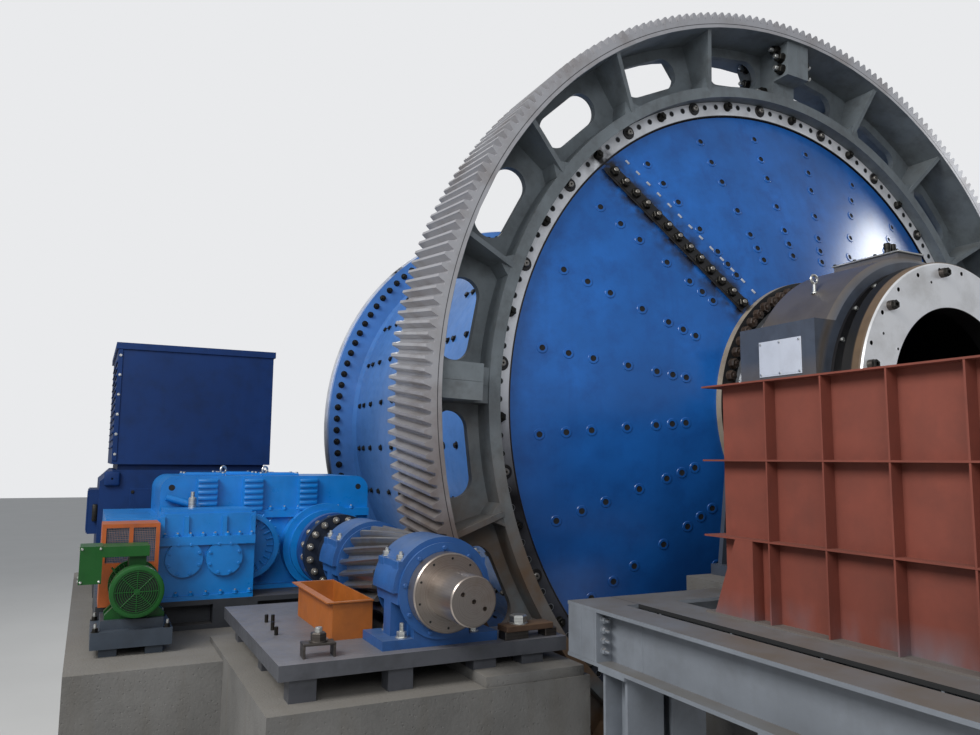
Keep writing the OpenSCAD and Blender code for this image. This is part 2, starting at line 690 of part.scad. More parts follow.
module casing_back() {
    color("#7c423c") difference() {
        union() {
            block([-wall_half, casing_y1 - sheet_t, girder_top_z], [wall_half, casing_y1, axis_h]);
            for (i = [0:rib_rows])
                block([-wall_half, casing_y1 - eps, girder_top_z + i * row_step],
                    [wall_half, casing_y1 + corner_out, girder_top_z + i * row_step + sheet_t]);
            for (x = [-1880, -1300, 1300, 1880])
                block([x - sheet_t / 2, casing_y1 - eps, girder_top_z], [x + sheet_t / 2, casing_y1 + flat_w, axis_h]);
            on_mill(casing_y1 - eps) cylinder(r = throat_r + 12, h = flat_w);
        }
        on_mill(casing_y1 - 50) cylinder(r = throat_r, h = 200);
        block([-casing_x, casing_y1 - 100, axis_h], [casing_x, casing_y1 + 200, axis_h + 2 * throat_r]);
    }
}
module casing_front() {
    color("#7c423c") {
        block([-wall_half, casing_y0, girder_top_z], [wall_half, casing_y0 + sheet_t, axis_h]);
        for (i = [0:rib_rows])
            block([-wall_half, casing_y0 - flat_w, girder_top_z + i * row_step],
                [wall_half, casing_y0 + eps, girder_top_z + i * row_step + sheet_t]);
        for (x = [-1880, -1300, -650, 0, 650, 1300, 1880])
            block([x - sheet_t / 2, casing_y0 - flat_w, girder_top_z], [x + sheet_t / 2, casing_y0 + eps, axis_h]);
    }
}

// Girder frame that carries the casing: two girders a side on legs, and cross girders to the pier
girder_out = casing_x + 640;
girder_in = casing_x;
girder_w = 240;
sill_w = 300;
girder_flange = 22;
girder_web = 20;
girder_y1 = gear_y - 1100;
girder_y0 = casing_y0 - 100;
cross_w = 300;
leg_w = 260;
girder_legs = 3;
stiff_t = 14;
// I-section of a girder, drawn across its run: x over the flanges, y up
module i_section(w, h, flange, web) {
    square([w, flange]);
    translate([0, h - flange]) square([w, flange]);
    translate([(w - web) / 2, 0]) square([web, h]);
}
module girder_run(x, w, y0, y1, first_side) {
    translate([x, y1, girder_top_z - girder_h]) rotate([90, 0, 0]) linear_extrude(y1 - y0)
        i_section(w, girder_h, girder_flange, girder_web);
    for (y = [y0 + 300:600:y1 - 100], s = [first_side:1])
        block([x + 4 + s * (w / 2 - 3), y, girder_top_z - girder_h + girder_flange - eps],
            [x + w / 2 + 3 + s * (w / 2 - 7), y + stiff_t, girder_top_z - girder_flange + eps]);
}
module leg_at(x0, x1, y) {
    block([x0, y, 0], [x1, y + leg_w, girder_flange]);
    block([x0, y, girder_top_z - girder_h - girder_flange], [x1, y + leg_w, girder_top_z - girder_h]);
    for (x = [x0 + 30, x1 - 30 - leg_w])
        translate([x, y + 10, girder_flange - eps]) linear_extrude(girder_top_z - girder_h - 2 * girder_flange + 2 * eps)
            i_section(leg_w, leg_w - 20, girder_flange, girder_web);
}
module girder_side() {
    girder_run(-girder_out, girder_w, girder_y0, girder_y1, 1);
    girder_run(-girder_in - sill_w, sill_w, girder_y0, girder_y1, 0);
    // End plate of the outer girder, where the cross girder is bolted on
    block([-girder_out, girder_y1 - girder_flange, girder_top_z - girder_h], [-girder_out + girder_w, girder_y1, girder_top_z]);
    for (i = [0:girder_legs - 1])
        leg_at(-girder_out, -girder_in, girder_y1 - leg_w - 40 - i * (girder_y1 - girder_y0 - leg_w - 80) / (girder_legs - 1));
}
module girder_left() {
    color("#8f969f") girder_side();
}
module girder_right() {
    color("#8f969f") mirror([1, 0, 0]) girder_side();
}
module cross_run(x0, x1, y) {
    translate([x0, y, girder_top_z - girder_h]) rotate([90, 0, 90]) linear_extrude(x1 - x0)
        i_section(cross_w - seat_gap, girder_h, girder_flange, girder_web);
}
module girder_cross() {
    color("#8f969f") {
        cross_run(-girder_out, -pier_w / 2 - seat_gap, girder_y1 + seat_gap);
        cross_run(pier_w / 2 + seat_gap, girder_out, girder_y1 + seat_gap);
    }
}

// Drum
module shell() {
    feed_flange_r = flange_r - feed_flange_less;
    color("#2f66b8") on_mill(0) rotate_extrude() polygon([
        [shell_r - shell_wall, shell_flange_y],
        [flange_r, shell_flange_y],
        [flange_r, shell_flange_y + flange_t],
        [shell_r + 40, shell_flange_y + flange_t],
        [shell_r, shell_flange_y + flange_t + 60],
        [shell_r, drum_end_y - flange_t * 2 - 60],
        [shell_r + 40, drum_end_y - flange_t * 2],
        [feed_flange_r, drum_end_y - flange_t * 2],
        [feed_flange_r, drum_end_y - flange_t],
        [shell_r - shell_wall, drum_end_y - flange_t]
    ]);
}
ring_step = 15;
cone_turn = atan((head_dish + ring_step) / (flange_inner_r - root_r));
module head_profile() {
    polygon([
        [bore_r, head_root_y],
        [root_r, head_root_y],
        [flange_inner_r, head_y + ring_step],
        [flange_inner_r, head_y],
        [flange_r, head_y],
        [flange_r, head_y + flange_t],
        [shell_r - shell_wall, head_y + flange_t],
        [root_r, head_root_y + head_wall + 20],
        [bore_r, head_root_y + head_wall + 20]
    ]);
}
// Strip over the joint of the two halves of a head, along the cone
module joint_strip(a) {
    r0 = root_r + 30;
    r1 = flange_inner_r - 30;
    on_mill(0) rotate([0, 0, -a]) translate([0, strip_w / 2, 0]) rotate([90, 0, 0]) linear_extrude(strip_w)
        polygon([for (p = [[r0, -strip_t], [r1, -strip_t], [r1, strip_t], [r0, strip_t]])
            [p[0], head_root_y + (p[0] - root_r) * tan(cone_turn) + p[1]]]);
}
module head_solid() {
    on_mill(0) rotate_extrude() head_profile();
    for (a = [head_joint_turn, head_joint_turn + 180]) joint_strip(a);
}
module discharge_head() {
    color("#2f66b8") head_solid();
}
module feed_head() {
    color("#2f66b8") translate([0, feed_y, 0]) mirror([0, 1, 0]) head_solid();
}
// Half section of a trunnion from its root flange to the back of its end ring
trunnion_points = [
    [bore_r, head_root_y],
    [root_r, head_root_y],
    [root_r, head_root_y - root_t],
    [journal_r + trunnion_fillet, head_root_y - root_t],
    [journal_r, head_root_y - root_t - trunnion_fillet],
    [journal_r, -ring_y + ring_t]
];
ring_chamfer = 20;
ring_points = [
    [ring_r, -ring_y + ring_t],
    [ring_r, -ring_y + ring_chamfer],
    [ring_r - ring_chamfer, -ring_y],
    [bore_r, -ring_y]
];
module discharge_trunnion() {
    color("#b9bcc0") on_mill(0) rotate_extrude()
        polygon(concat(trunnion_points, [[bore_r, -ring_y + ring_t]]));
}
module feed_trunnion() {
    color("#b9bcc0") translate([0, feed_y, 0]) mirror([0, 1, 0]) on_mill(0) rotate_extrude()
        polygon(concat(trunnion_points, ring_points));
}
// Tapped holes in the outer face of the end ring
module ring_bolt_holes() {
    for (i = [0:ring_holes - 1])
        rotate([0, 0, (i + 0.5) * 360 / ring_holes])
            translate([ring_bolt_r, 0, -ring_y - eps]) cylinder(r = ring_hole_r, h = ring_hole_depth + eps);
}
module discharge_ring() {
    color("#b9bcc0") on_mill(0) difference() {
        rotate_extrude() polygon(concat(ring_points, [[bore_r, -ring_y + ring_t]]));
        ring_bolt_holes();
    }
}

// Girth gear in four segments
segment_teeth = gear_teeth / 4;
gear_radii = [gear_root_r, gear_r, gear_tip_r];
// Teeth past each joint, so that the helical rim can be cut flat there
spare_teeth = 2;
rim_steps = 20;
module tooth_sector(start) {
    first = start - spare_teeth * gear_pitch;
    angle = 90 + 2 * spare_teeth * gear_pitch;
    polygon([
        for (i = [0:segment_teeth + 2 * spare_teeth - 1])
            for (p = tooth_points(first + (i + 0.5) * gear_pitch, gear_teeth, gear_r, gear_radii)) p,
        polar(gear_root_r, first + angle),
        for (i = [rim_steps:-1:0]) polar(rim_inner_r, first + i * angle / rim_steps)
    ]);
}
// Quarter of the circle, far enough out to take in the teeth
module quarter(start, length) {
    far = 2 * gear_tip_r;
    linear_extrude(length) polygon([[0, 0], polar(far, start), polar(far, start + 45), polar(far, start + 90)]);
}
module ring_sector(start, points) {
    rotate([0, 0, start]) rotate_extrude(angle = 90) polygon(points);
}
shoulder_in_r = flange_r + 4;
shoulder_r = shoulder_in_r + shoulder_w;
shoulder_y0 = head_y - shoulder_out;
shoulder_y1 = shell_flange_y + flange_t + 20;
web_y0 = gear_flange_y;
web_y1 = gear_flange_y + web_t;
rib_edge = 35;
flare = 70;
module web_window(a) {
    rotate([0, 0, a]) translate([(shoulder_r + rim_inner_r) / 2, 0, web_y0 - 50]) {
        for (s = [-1, 1]) translate([0, s * (window_l - window_w) / 2, 0])
            cylinder(d = window_w, h = web_t + 100);
        translate([-window_w / 2, -(window_l - window_w) / 2, 0])
            cube([window_w, window_l - window_w, web_t + 100]);
    }
}
// Radial rib through the web, as deep as the rim outside and as the shoulder inside
rib_points = [
    [shoulder_r - 30, shoulder_y1 - 3],
    [shoulder_r - 30, shoulder_y0 + 3],
    [rim_inner_r + 5, gear_y + rib_edge],
    [rim_inner_r + 5, gear_y + gear_w - rib_edge]
];
module rib(a) {
    rotate([0, 0, a]) {
        translate([0, rib_t / 2, 0]) rotate([90, 0, 0]) linear_extrude(rib_t) polygon(rib_points);
        translate([0, 0, shoulder_y0 + 5]) linear_extrude(shoulder_y1 - shoulder_y0 - 10) polygon([
            [shoulder_r - 10, -rib_t / 2 - flare], [shoulder_r + 3, -rib_t / 2 - flare], [shoulder_r + flare * 1.4, -rib_t / 2 + eps],
            [shoulder_r + flare * 1.4, rib_t / 2 - eps], [shoulder_r + 3, rib_t / 2 + flare], [shoulder_r - 10, rib_t / 2 + flare]]);
    }
}
// Joint flange of a segment, on the side of the joint that side says. Its face lies a little behind the joint
joint_relief = 1;
joint_step_r = rim_inner_r - 350;
joint_points = [
    [shoulder_r - 30, shoulder_y1 - 6],
    [shoulder_r - 30, shoulder_y0 + 20],
    [joint_step_r, shoulder_y0 + 20],
    [joint_step_r, gear_y + rib_edge],
    [rim_inner_r + 5, gear_y + rib_edge],
    [rim_inner_r + 5, gear_y + gear_w - rib_edge]
];
module joint_flange(a, side) {
    rotate([0, 0, a]) translate([0, side > 0 ? joint_flange_t : -joint_relief, 0]) rotate([90, 0, 0])
        linear_extrude(joint_flange_t - joint_relief) polygon(joint_points);
}
module gear_segment(k) {
    start = -(90 + joint_turn) + 90 * k;
    color("#555f66") {
        on_mill(gear_y) intersection() {
            linear_extrude(height = gear_w, twist = -twist_of(gear_w, gear_r), slices = 1) tooth_sector(start);
            translate([0, 0, -eps]) quarter(start, gear_w + 2 * eps);
        }
        on_mill(0) {
            difference() {
                ring_sector(start, [[shell_r + 90, web_y0], [shell_r + 90, web_y1], [shoulder_in_r, web_y1], [shoulder_in_r, shoulder_y1],
                    [shoulder_r, shoulder_y1], [shoulder_r, web_y1], [rim_inner_r + 10, web_y1], [rim_inner_r + 10, web_y0],
                    [shoulder_r, web_y0], [shoulder_r, shoulder_y0], [shoulder_in_r, shoulder_y0], [shoulder_in_r, web_y0]]);
                for (i = [0:gear_bays - 1]) web_window(start + (i + 0.5) * 90 / gear_bays);
            }
            for (i = [1:gear_bays - 1]) rib(start + i * 90 / gear_bays);
            joint_flange(start, 1);
            joint_flange(start + 90, -1);
        }
    }
}
module gear_segment_1() {
    gear_segment(0);
}
module gear_segment_2() {
    gear_segment(1);
}
module gear_segment_3() {
    gear_segment(2);
}
module gear_segment_4() {
    gear_segment(3);
}

// Pinion on its shaft. A gear space lies at gear_space, measured from the line of centres
pinion_local = -pinion_turn;
gear_start = -(90 + joint_turn);
gear_space = (pinion_local - gear_start) / gear_pitch - floor((pinion_local - gear_start) / gear_pitch);
pinion_phase = pinion_local + 180 + gear_space * pinion_pitch;
pinion_w = gear_w + 2 * pinion_over;
pinion_radii = [pinion_root_r, pinion_r - 0.6 * tooth_module, pinion_r, pinion_r + 0.5 * tooth_module, pinion_tip_r];
module pinion() {
    color("#b9bcc0") on_pinion(gear_y - pinion_over)
        rotate([0, 0, twist_of(pinion_over, pinion_r)])
        linear_extrude(height = pinion_w, twist = twist_of(pinion_w, pinion_r), slices = 8)
        polygon([
            for (i = [0:pinion_teeth - 1])
                for (p = tooth_points(pinion_phase + i * pinion_pitch, pinion_teeth, pinion_r, pinion_radii)) p
        ]);
}
seal_y0 = front_cap_y - boss_out - run_gap - seal_ring_len;
shaft_y0 = seal_y0 - shaft_end;
coupling_y = gear_y + 1680;
shaft_chamfer = 8;
centre_hole_r = 14;
module pinion_shaft() {
    color("#b9bcc0") {
        difference() {
            on_pinion(shaft_y0) rotate_extrude() polygon([
                [0, 0], [shaft_end_r - shaft_chamfer, 0], [shaft_end_r, shaft_chamfer], [shaft_end_r, shaft_end],
                [seal_ring_r - shaft_chamfer, shaft_end], [seal_ring_r, shaft_end + shaft_chamfer],
                [seal_ring_r, shaft_end + seal_ring_len], [shaft_r, shaft_end + seal_ring_len],
                [shaft_r, gear_y - pinion_over - seat_gap - shaft_y0], [0, gear_y - pinion_over - seat_gap - shaft_y0]]);
            // Three tapped holes across the end face
            for (i = [-1:1])
                on_pinion(shaft_y0 - eps) translate([i * 72, i * 45, 0]) cylinder(r = centre_hole_r, h = 60);
        }
        on_pinion(gear_y + gear_w + pinion_over + seat_gap)
            cylinder(r = shaft_r, h = coupling_y - (gear_y + gear_w + pinion_over) - 2 * seat_gap);
    }
}
hub_r = 216;
disc_t = 80;
front_disc_y = 100;
rear_disc_y = 320;
module coupling() {
    color("#2a2d31") on_pinion(coupling_y) rotate_extrude() polygon([
        [0, 0], [hub_r, 0], [hub_r, front_disc_y], [coupling_r, front_disc_y], [coupling_r, front_disc_y + disc_t],
        [hub_r, front_disc_y + disc_t], [hub_r, rear_disc_y], [coupling_r, rear_disc_y], [coupling_r, rear_disc_y + disc_t],
        [hub_r + 30, rear_disc_y + disc_t], [hub_r + 30, boss_y - coupling_y - 60], [0, boss_y - coupling_y - 60]]);
}

discharge_pier();
feed_pier();
pinion_plinth();
drive_plinth();
discharge_bearing_base();
discharge_bearing_cap();
feed_bearing_base();
feed_bearing_cap();
pinion_base_plate();
front_housing_base();
front_housing_cap();
rear_housing_base();
rear_housing_cap();
pinion_tray();
reducer_frame();
reducer_lower_case();
reducer_upper_case();
motor_frame();
motor_body();
motor_cooler();
barring_motor();
barring_base();
coupling_guard();
casing_left();
casing_right();
casing_back();
casing_front();
girder_left();
girder_right();
girder_cross();
shell();
discharge_head();
feed_head();
discharge_trunnion();
feed_trunnion();
discharge_ring();
gear_segment_1();
gear_segment_2();
gear_segment_3();
gear_segment_4();
pinion();
pinion_shaft();
coupling();
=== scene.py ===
import bpy
import math
from mathutils import Matrix, Vector


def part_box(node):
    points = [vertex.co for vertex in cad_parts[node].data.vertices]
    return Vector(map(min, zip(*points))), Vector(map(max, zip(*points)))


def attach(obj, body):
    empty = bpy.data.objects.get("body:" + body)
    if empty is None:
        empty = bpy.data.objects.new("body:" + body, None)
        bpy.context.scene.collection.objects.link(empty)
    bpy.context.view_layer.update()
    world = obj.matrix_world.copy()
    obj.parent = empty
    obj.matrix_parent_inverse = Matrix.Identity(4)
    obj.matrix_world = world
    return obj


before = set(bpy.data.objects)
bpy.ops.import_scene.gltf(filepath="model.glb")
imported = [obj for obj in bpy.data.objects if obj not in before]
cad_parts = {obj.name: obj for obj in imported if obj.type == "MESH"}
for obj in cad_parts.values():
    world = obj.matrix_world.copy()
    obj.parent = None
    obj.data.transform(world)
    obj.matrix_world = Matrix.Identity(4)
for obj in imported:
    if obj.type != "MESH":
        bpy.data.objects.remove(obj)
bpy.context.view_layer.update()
print("stage: packed model loaded")

# The camera stands beside the foundations and looks along the mill, a little upwards
camera = {"place": (-5.935, -4.457, 3.882), "turn": 26.666, "lift": 6.688, "roll": 0.495, "lens": 29.155}
# The mill's own measures that the pieces below lean on, in metres and degrees
mill = {
    "axis": (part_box("shell")[0].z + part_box("shell")[1].z) / 2,
    "ringFace": 1.140, "ringRadius": 3.037, "ringPlaces": 132, "ringTurn": 141.45,
    "coneInner": (1.190, 0.700), "coneOuter": (2.947, 1.155), "jointTurn": 133.0,
    "feedEnd": 7.376, "shellRadius": 2.700, "endRingFace": -0.646,
}
pinion = {"x": -3.8612, "z": 3.0581}


# Places and directions
def onMill(radius, degrees, y):  # a point on a circle about the mill axis; 0 degrees is +X and 90 is up
    a = math.radians(degrees)
    return Vector((radius * math.cos(a), y, mill["axis"] + radius * math.sin(a)))


def outward(degrees):
    return Vector((math.cos(math.radians(degrees)), 0, math.sin(math.radians(degrees))))


def onward(degrees):  # along the circle, towards larger angles
    return Vector((-math.sin(math.radians(degrees)), 0, math.cos(math.radians(degrees))))


def coneSlope():
    (r0, y0), (r1, y1) = mill["coneInner"], mill["coneOuter"]
    return (y1 - y0) / (r1 - r0)


def coneOut(degrees):  # the way out of the cone of the discharge head at that side
    return (outward(degrees) * coneSlope() + Vector((0, -1, 0))).normalized()


def onCone(radius, degrees, lift=0.0):
    r0, y0 = mill["coneInner"]
    return onMill(radius, degrees, y0 + (radius - r0) * coneSlope()) + coneOut(degrees) * lift


def facing(point, direction, spin=0.0):  # a matrix whose Z axis points along direction
    turn = Vector(direction).to_track_quat("Z", "Y").to_matrix().to_4x4()
    return Matrix.Translation(point) @ turn @ Matrix.Rotation(math.radians(spin), 4, "Z")


def upAt(x, y, z, spin=0.0):  # a place on a level surface
    return facing((x, y, z), (0, 0, 1), spin)


def frontAt(x, y, z, spin=0.0):  # a place on a surface that faces the discharge end
    return facing((x, y, z), (0, -1, 0), spin)


def onMillFace(radius, degrees, y, spin=0.0, way=-1):  # a place on a face of the mill; way 1 is towards the feed end
    return facing(onMill(radius, degrees, y), (0, way, 0), spin)


def onPinionFace(radius, degrees, y, spin=0.0, way=-1):
    a = math.radians(degrees)
    point = (pinion["x"] + radius * math.cos(a), y, pinion["z"] + radius * math.sin(a))
    return facing(point, (0, way, 0), spin)


def framed(point, along, out):  # a matrix with X along one way and Z out of the surface
    x, z = Vector(along).normalized(), Vector(out).normalized()
    y = z.cross(x)
    return Matrix(((x.x, y.x, z.x, point[0]), (x.y, y.y, z.y, point[1]), (x.z, y.z, z.z, point[2]), (0, 0, 0, 1)))


def atFeedEnd(place, keepLong=False):  # the same place at the feed end, with its long way kept where asked
    point, out = place.to_translation(), place.to_3x3() @ Vector((0, 0, 1))
    point, out = Vector((point.x, mill["feedEnd"] - point.y, point.z)), Vector((out.x, -out.y, out.z))
    if not keepLong:
        return facing(point, out)
    along = place.to_3x3() @ Vector((1, 0, 0))
    return framed(point, (along.x, -along.y, along.z), out)


# Shaping in edit mode, and finishing
def deselectAll():
    for thing in list(bpy.context.selected_objects):
        thing.select_set(False)


def selectOnly(pieces):
    deselectAll()
    for piece in pieces:
        piece.select_set(True)
    bpy.context.view_layer.objects.active = pieces[0]


def pickFaces(piece, test):  # goes into edit mode with the faces that pass the test selected
    selectOnly([piece])
    bpy.ops.object.mode_set(mode="EDIT")
    bpy.ops.mesh.select_mode(type="FACE")
    bpy.ops.mesh.select_all(action="DESELECT")
    bpy.ops.object.mode_set(mode="OBJECT")
    for face in piece.data.polygons:
        face.select = bool(test(face.center, face.normal))
    bpy.ops.object.mode_set(mode="EDIT")


def applyPlace():
    bpy.ops.object.transform_apply(location=True, rotation=True, scale=True)
    return bpy.context.object


def addRound(radius, low, high, sides, bevel=0.0, segments=1):  # a round along Z, with its top edge broken if asked
    deselectAll()
    middle = (0, 0, (low + high) / 2)
    bpy.ops.mesh.primitive_cylinder_add(vertices=sides, radius=radius, depth=high - low, location=middle)
    piece = applyPlace()
    return bevelTop(piece, bevel, segments) if bevel else piece


def addBlock(low, high, bevel=0.004, segments=1):  # a block from corner to corner with broken edges
    deselectAll()
    bpy.ops.mesh.primitive_cube_add(size=1, location=[(l + h) / 2 for l, h in zip(low, high)])
    bpy.context.object.scale = [h - l for l, h in zip(low, high)]
    piece = applyPlace()
    bpy.ops.object.mode_set(mode="EDIT")
    bpy.ops.mesh.select_all(action="SELECT")
    bpy.ops.mesh.bevel(offset=bevel, segments=segments, affect="EDGES")
    bpy.ops.object.mode_set(mode="OBJECT")
    return piece


def pickTop(piece):
    top = max(v.co.z for v in piece.data.vertices)
    pickFaces(piece, lambda c, n: n.z > 0.9 and c.z > top - 1e-5)


def bevelTop(piece, offset, segments=1):
    pickTop(piece)
    bpy.ops.mesh.bevel(offset=offset, segments=segments, affect="EDGES")
    bpy.ops.object.mode_set(mode="OBJECT")
    return piece


def sinkTop(piece, inset, depth):  # a hole in the top face
    pickTop(piece)
    bpy.ops.mesh.inset(thickness=inset, depth=0)
    if depth:
        bpy.ops.mesh.extrude_region_move(TRANSFORM_OT_translate={"value": (0, 0, -depth)})
    bpy.ops.object.mode_set(mode="OBJECT")
    return piece


def raiseTop(piece, inset, height):  # a step on the top face
    return sinkTop(piece, inset, -height)


def dress(piece, *materials):
    piece.data.materials.clear()
    for material in materials:
        piece.data.materials.append(material)
    return piece


def markFaces(piece, index, test):  # gives those faces the piece's material of that index
    for face in piece.data.polygons:
        if test(face.center, face.normal):
            face.material_index = index
    return piece


def joinAll(pieces):
    selectOnly(pieces)
    if len(pieces) > 1:
        bpy.ops.object.join()
    return bpy.context.view_layer.objects.active


def finishPiece(name, piece, body):
    piece.name = name
    selectOnly([piece])
    applyPlace()
    bpy.ops.object.shade_smooth_by_angle(angle=math.radians(35))
    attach(piece, body)


def copiesAt(model, places, keep=False):  # one copy of the model at each place, each with its own mesh
    copies = []
    for place in places:
        copy = model.copy()
        copy.data = model.data.copy()
        bpy.context.scene.collection.objects.link(copy)
        copy.matrix_world = place
        copies.append(copy)
    if not keep:
        bpy.data.objects.remove(model)
    return copies


def repeatAt(name, model, places, body, keep=False):
    finishPiece(name, joinAll(copiesAt(model, places, keep)), body)


def atBothHeads(name, model, places, keepLong=False):  # on the discharge head, and mirrored on the feed head
    repeatAt("discharge_" + name, model, places, "mill", keep=True)
    repeatAt("feed_" + name, model, [atFeedEnd(p, keepLong) for p in places], "mill")


# Materials
def linearColour(hexText, gain=1.0):  # an sRGB hex value as the linear colour that the shader wants
    parts = [int(hexText[i:i + 2], 16) / 255 for i in (1, 3, 5)]
    return [min(1.0, gain * (p / 12.92 if p <= 0.04045 else ((p + 0.055) / 1.055) ** 2.4)) for p in parts] + [1.0]


def setSockets(mat, node, inputs):  # values and links, by socket name or in the order of the sockets
    for key, value in inputs.items() if isinstance(inputs, dict) else enumerate(inputs):
        if isinstance(value, bpy.types.NodeSocket):
            mat.node_tree.links.new(value, node.inputs[key])
        else:
            node.inputs[key].default_value = value


def addNode(mat, kind, inputs, output=0, **settings):  # adds a node with its settings and links, and gives its output
    node = mat.node_tree.nodes.new("ShaderNode" + kind)
    for key, value in settings.items():
        setattr(node, key, value)
    setSockets(mat, node, inputs)
    return node.outputs[output]


times, larger, minus, unsigned, plus = (
    {"operation": kind} for kind in ("MULTIPLY", "MAXIMUM", "SUBTRACT", "ABSOLUTE", "ADD"))
colourMix = {"output": 2, "data_type": "RGBA"}  # its share is socket 0, and its two colours are sockets 6 and 7


def newMaterial(name):
    mat = bpy.data.materials.new(name)
    mat.use_nodes = True
    return mat, mat.node_tree.nodes["Principled BSDF"], addNode(mat, "TexCoord", {}, "Object")


def cloudsAt(mat, place, perMetre, detail, low, high, toLow=0, toHigh=1, rough=0.55):  # blotches of a stated size
    noise = addNode(mat, "TexNoise", {"Vector": place, "Scale": perMetre, "Detail": detail, "Roughness": rough})
    return addNode(mat, "MapRange", (noise, low, high, toLow, toHigh))


def mottled(mat, place, hexText, darker, lighter, *clouds):  # one colour that is darker and lighter in blotches
    tones = {6: linearColour(hexText, darker), 7: linearColour(hexText, lighter)}
    return addNode(mat, "Mix", {0: cloudsAt(mat, place, *clouds), **tones}, **colourMix)


def layered(mat, colour, *layers):  # lays each colour over the one before, as far as its share says
    for share, hexText in layers:
        colour = addNode(mat, "Mix", {0: share, 6: colour, 7: linearColour(hexText)}, **colourMix)
    return colour


def finelyRough(mat, place, perMetre, detail, strength, height):  # fine relief of the skin
    grain = addNode(mat, "TexNoise", {"Vector": place, "Scale": perMetre, "Detail": detail, "Roughness": 0.55})
    return addNode(mat, "Bump", {"Height": grain, "Strength": strength, "Distance": height})


def fadeAlong(mat, vector, axis, low, high, toLow=0, toHigh=1):  # a change along one axis
    return addNode(mat, "MapRange", (addNode(mat, "SeparateXYZ", (vector,), axis), low, high, toLow, toHigh))


def radiusFrom(mat, place, centre):  # distance from a line along Y through centre
    moved = addNode(mat, "VectorMath", (place, centre), **minus)
    flat = addNode(mat, "VectorMath", (moved, (1, 0, 1)), **times)
    return addNode(mat, "VectorMath", (flat,), "Value", operation="LENGTH")


def inBand(mat, value, low, high, edge=0.002):  # 1 between low and high, 0 outside
    up = addNode(mat, "MapRange", (value, low - edge, low))
    return addNode(mat, "Math", (up, addNode(mat, "MapRange", (value, high, high + edge, 1, 0))), **times)


def facingUp(mat):
    return fadeAlong(mat, addNode(mat, "NewGeometry", {}, "Normal"), "Z", 0.4, 0.95)


def soiledColour(mat, place, clean, dirt, amount, dust, dustHex):  # 20 cm smears, streaks that run down, fallen dust
    smears = cloudsAt(mat, place, 5.0, 6, 0.47, 0.72, 0, amount, 0.65)
    tall = addNode(mat, "VectorMath", (place, (9, 9, 0.8)), **times)
    streaks = cloudsAt(mat, tall, 1.0, 4, 0.55, 0.8, 0, amount * 0.6)
    settled = cloudsAt(mat, place, 2.5, 5, 0.3, 0.7, dust * 0.4, dust)
    fallen = addNode(mat, "Math", (facingUp(mat), settled), **times)
    return layered(mat, clean, (smears, dirt), (streaks, dirt), (fallen, dustHex))


# Enamel over steel or iron: even colour with soft lights, 4 mm orange peel, smears of dirt and fallen dust
def enamelPaint(name, hexText, roughness=0.4, dirt="#1d2026", amount=0.3, dust=0.3, dustHex="#a39d93", peel=0.12,
                coat=0.0, shine=0.5):
    mat, shader, place = newMaterial(name)
    tone = mottled(mat, place, hexText, 0.84, 1.12, 0.8, 4, 0.33, 0.67)
    setSockets(mat, shader, {
        "Base Color": soiledColour(mat, place, tone, dirt, amount, dust, dustHex),
        "Roughness": cloudsAt(mat, place, 9.0, 4, 0.3, 0.7, roughness - 0.08, roughness + 0.12),
        "Normal": finelyRough(mat, place, 230.0, 2, peel, 0.0012),
        "Specular IOR Level": shine, "Coat Weight": coat, "Coat Roughness": 0.15})
    return mat


# Turned or milled steel: grey with fine tool marks, a film of oil and a little rust
def machinedSteel(name, hexText, roughness=0.32, centre=None, stain="#5a4632", stained=0.35, marks=90.0):
    mat, shader, place = newMaterial(name)
    line = radiusFrom(mat, place, centre) if centre else addNode(mat, "SeparateXYZ", (place,), "Z")
    rings = addNode(mat, "TexNoise", {"W": line, "Scale": marks, "Detail": 2.0}, noise_dimensions="1D")
    bands = addNode(mat, "MapRange", (rings, 0.3, 0.7))
    tone = addNode(mat, "Mix", {0: bands, 6: linearColour(hexText, 0.78), 7: linearColour(hexText, 1.15)}, **colourMix)
    film = cloudsAt(mat, place, 3.2, 6, 0.48, 0.74, 0, stained, 0.6)
    setSockets(mat, shader, {
        "Base Color": layered(mat, tone, (film, stain)), "Metallic": 0.9,
        "Roughness": addNode(mat, "MapRange", (film, 0, 1, roughness, roughness + 0.3)),
        "Normal": addNode(mat, "Bump", {"Height": rings, "Strength": 0.08, "Distance": 0.0006})})
    return mat


# Rolled plate under dull paint: 3 mm scale in its skin, darker in the hollows, dust on top
def platePaint(name, hexText, roughness, dirt, amount, dust, dustHex):
    mat, shader, place = newMaterial(name)
    tone = mottled(mat, place, hexText, 0.8, 1.18, 1.4, 5, 0.3, 0.7)
    setSockets(mat, shader, {
        "Base Color": soiledColour(mat, place, tone, dirt, amount, dust, dustHex),
        "Roughness": cloudsAt(mat, place, 14.0, 3, 0.3, 0.7, roughness - 0.1, roughness + 0.12),
        "Normal": finelyRough(mat, place, 320.0, 3, 0.35, 0.0015)})
    return mat


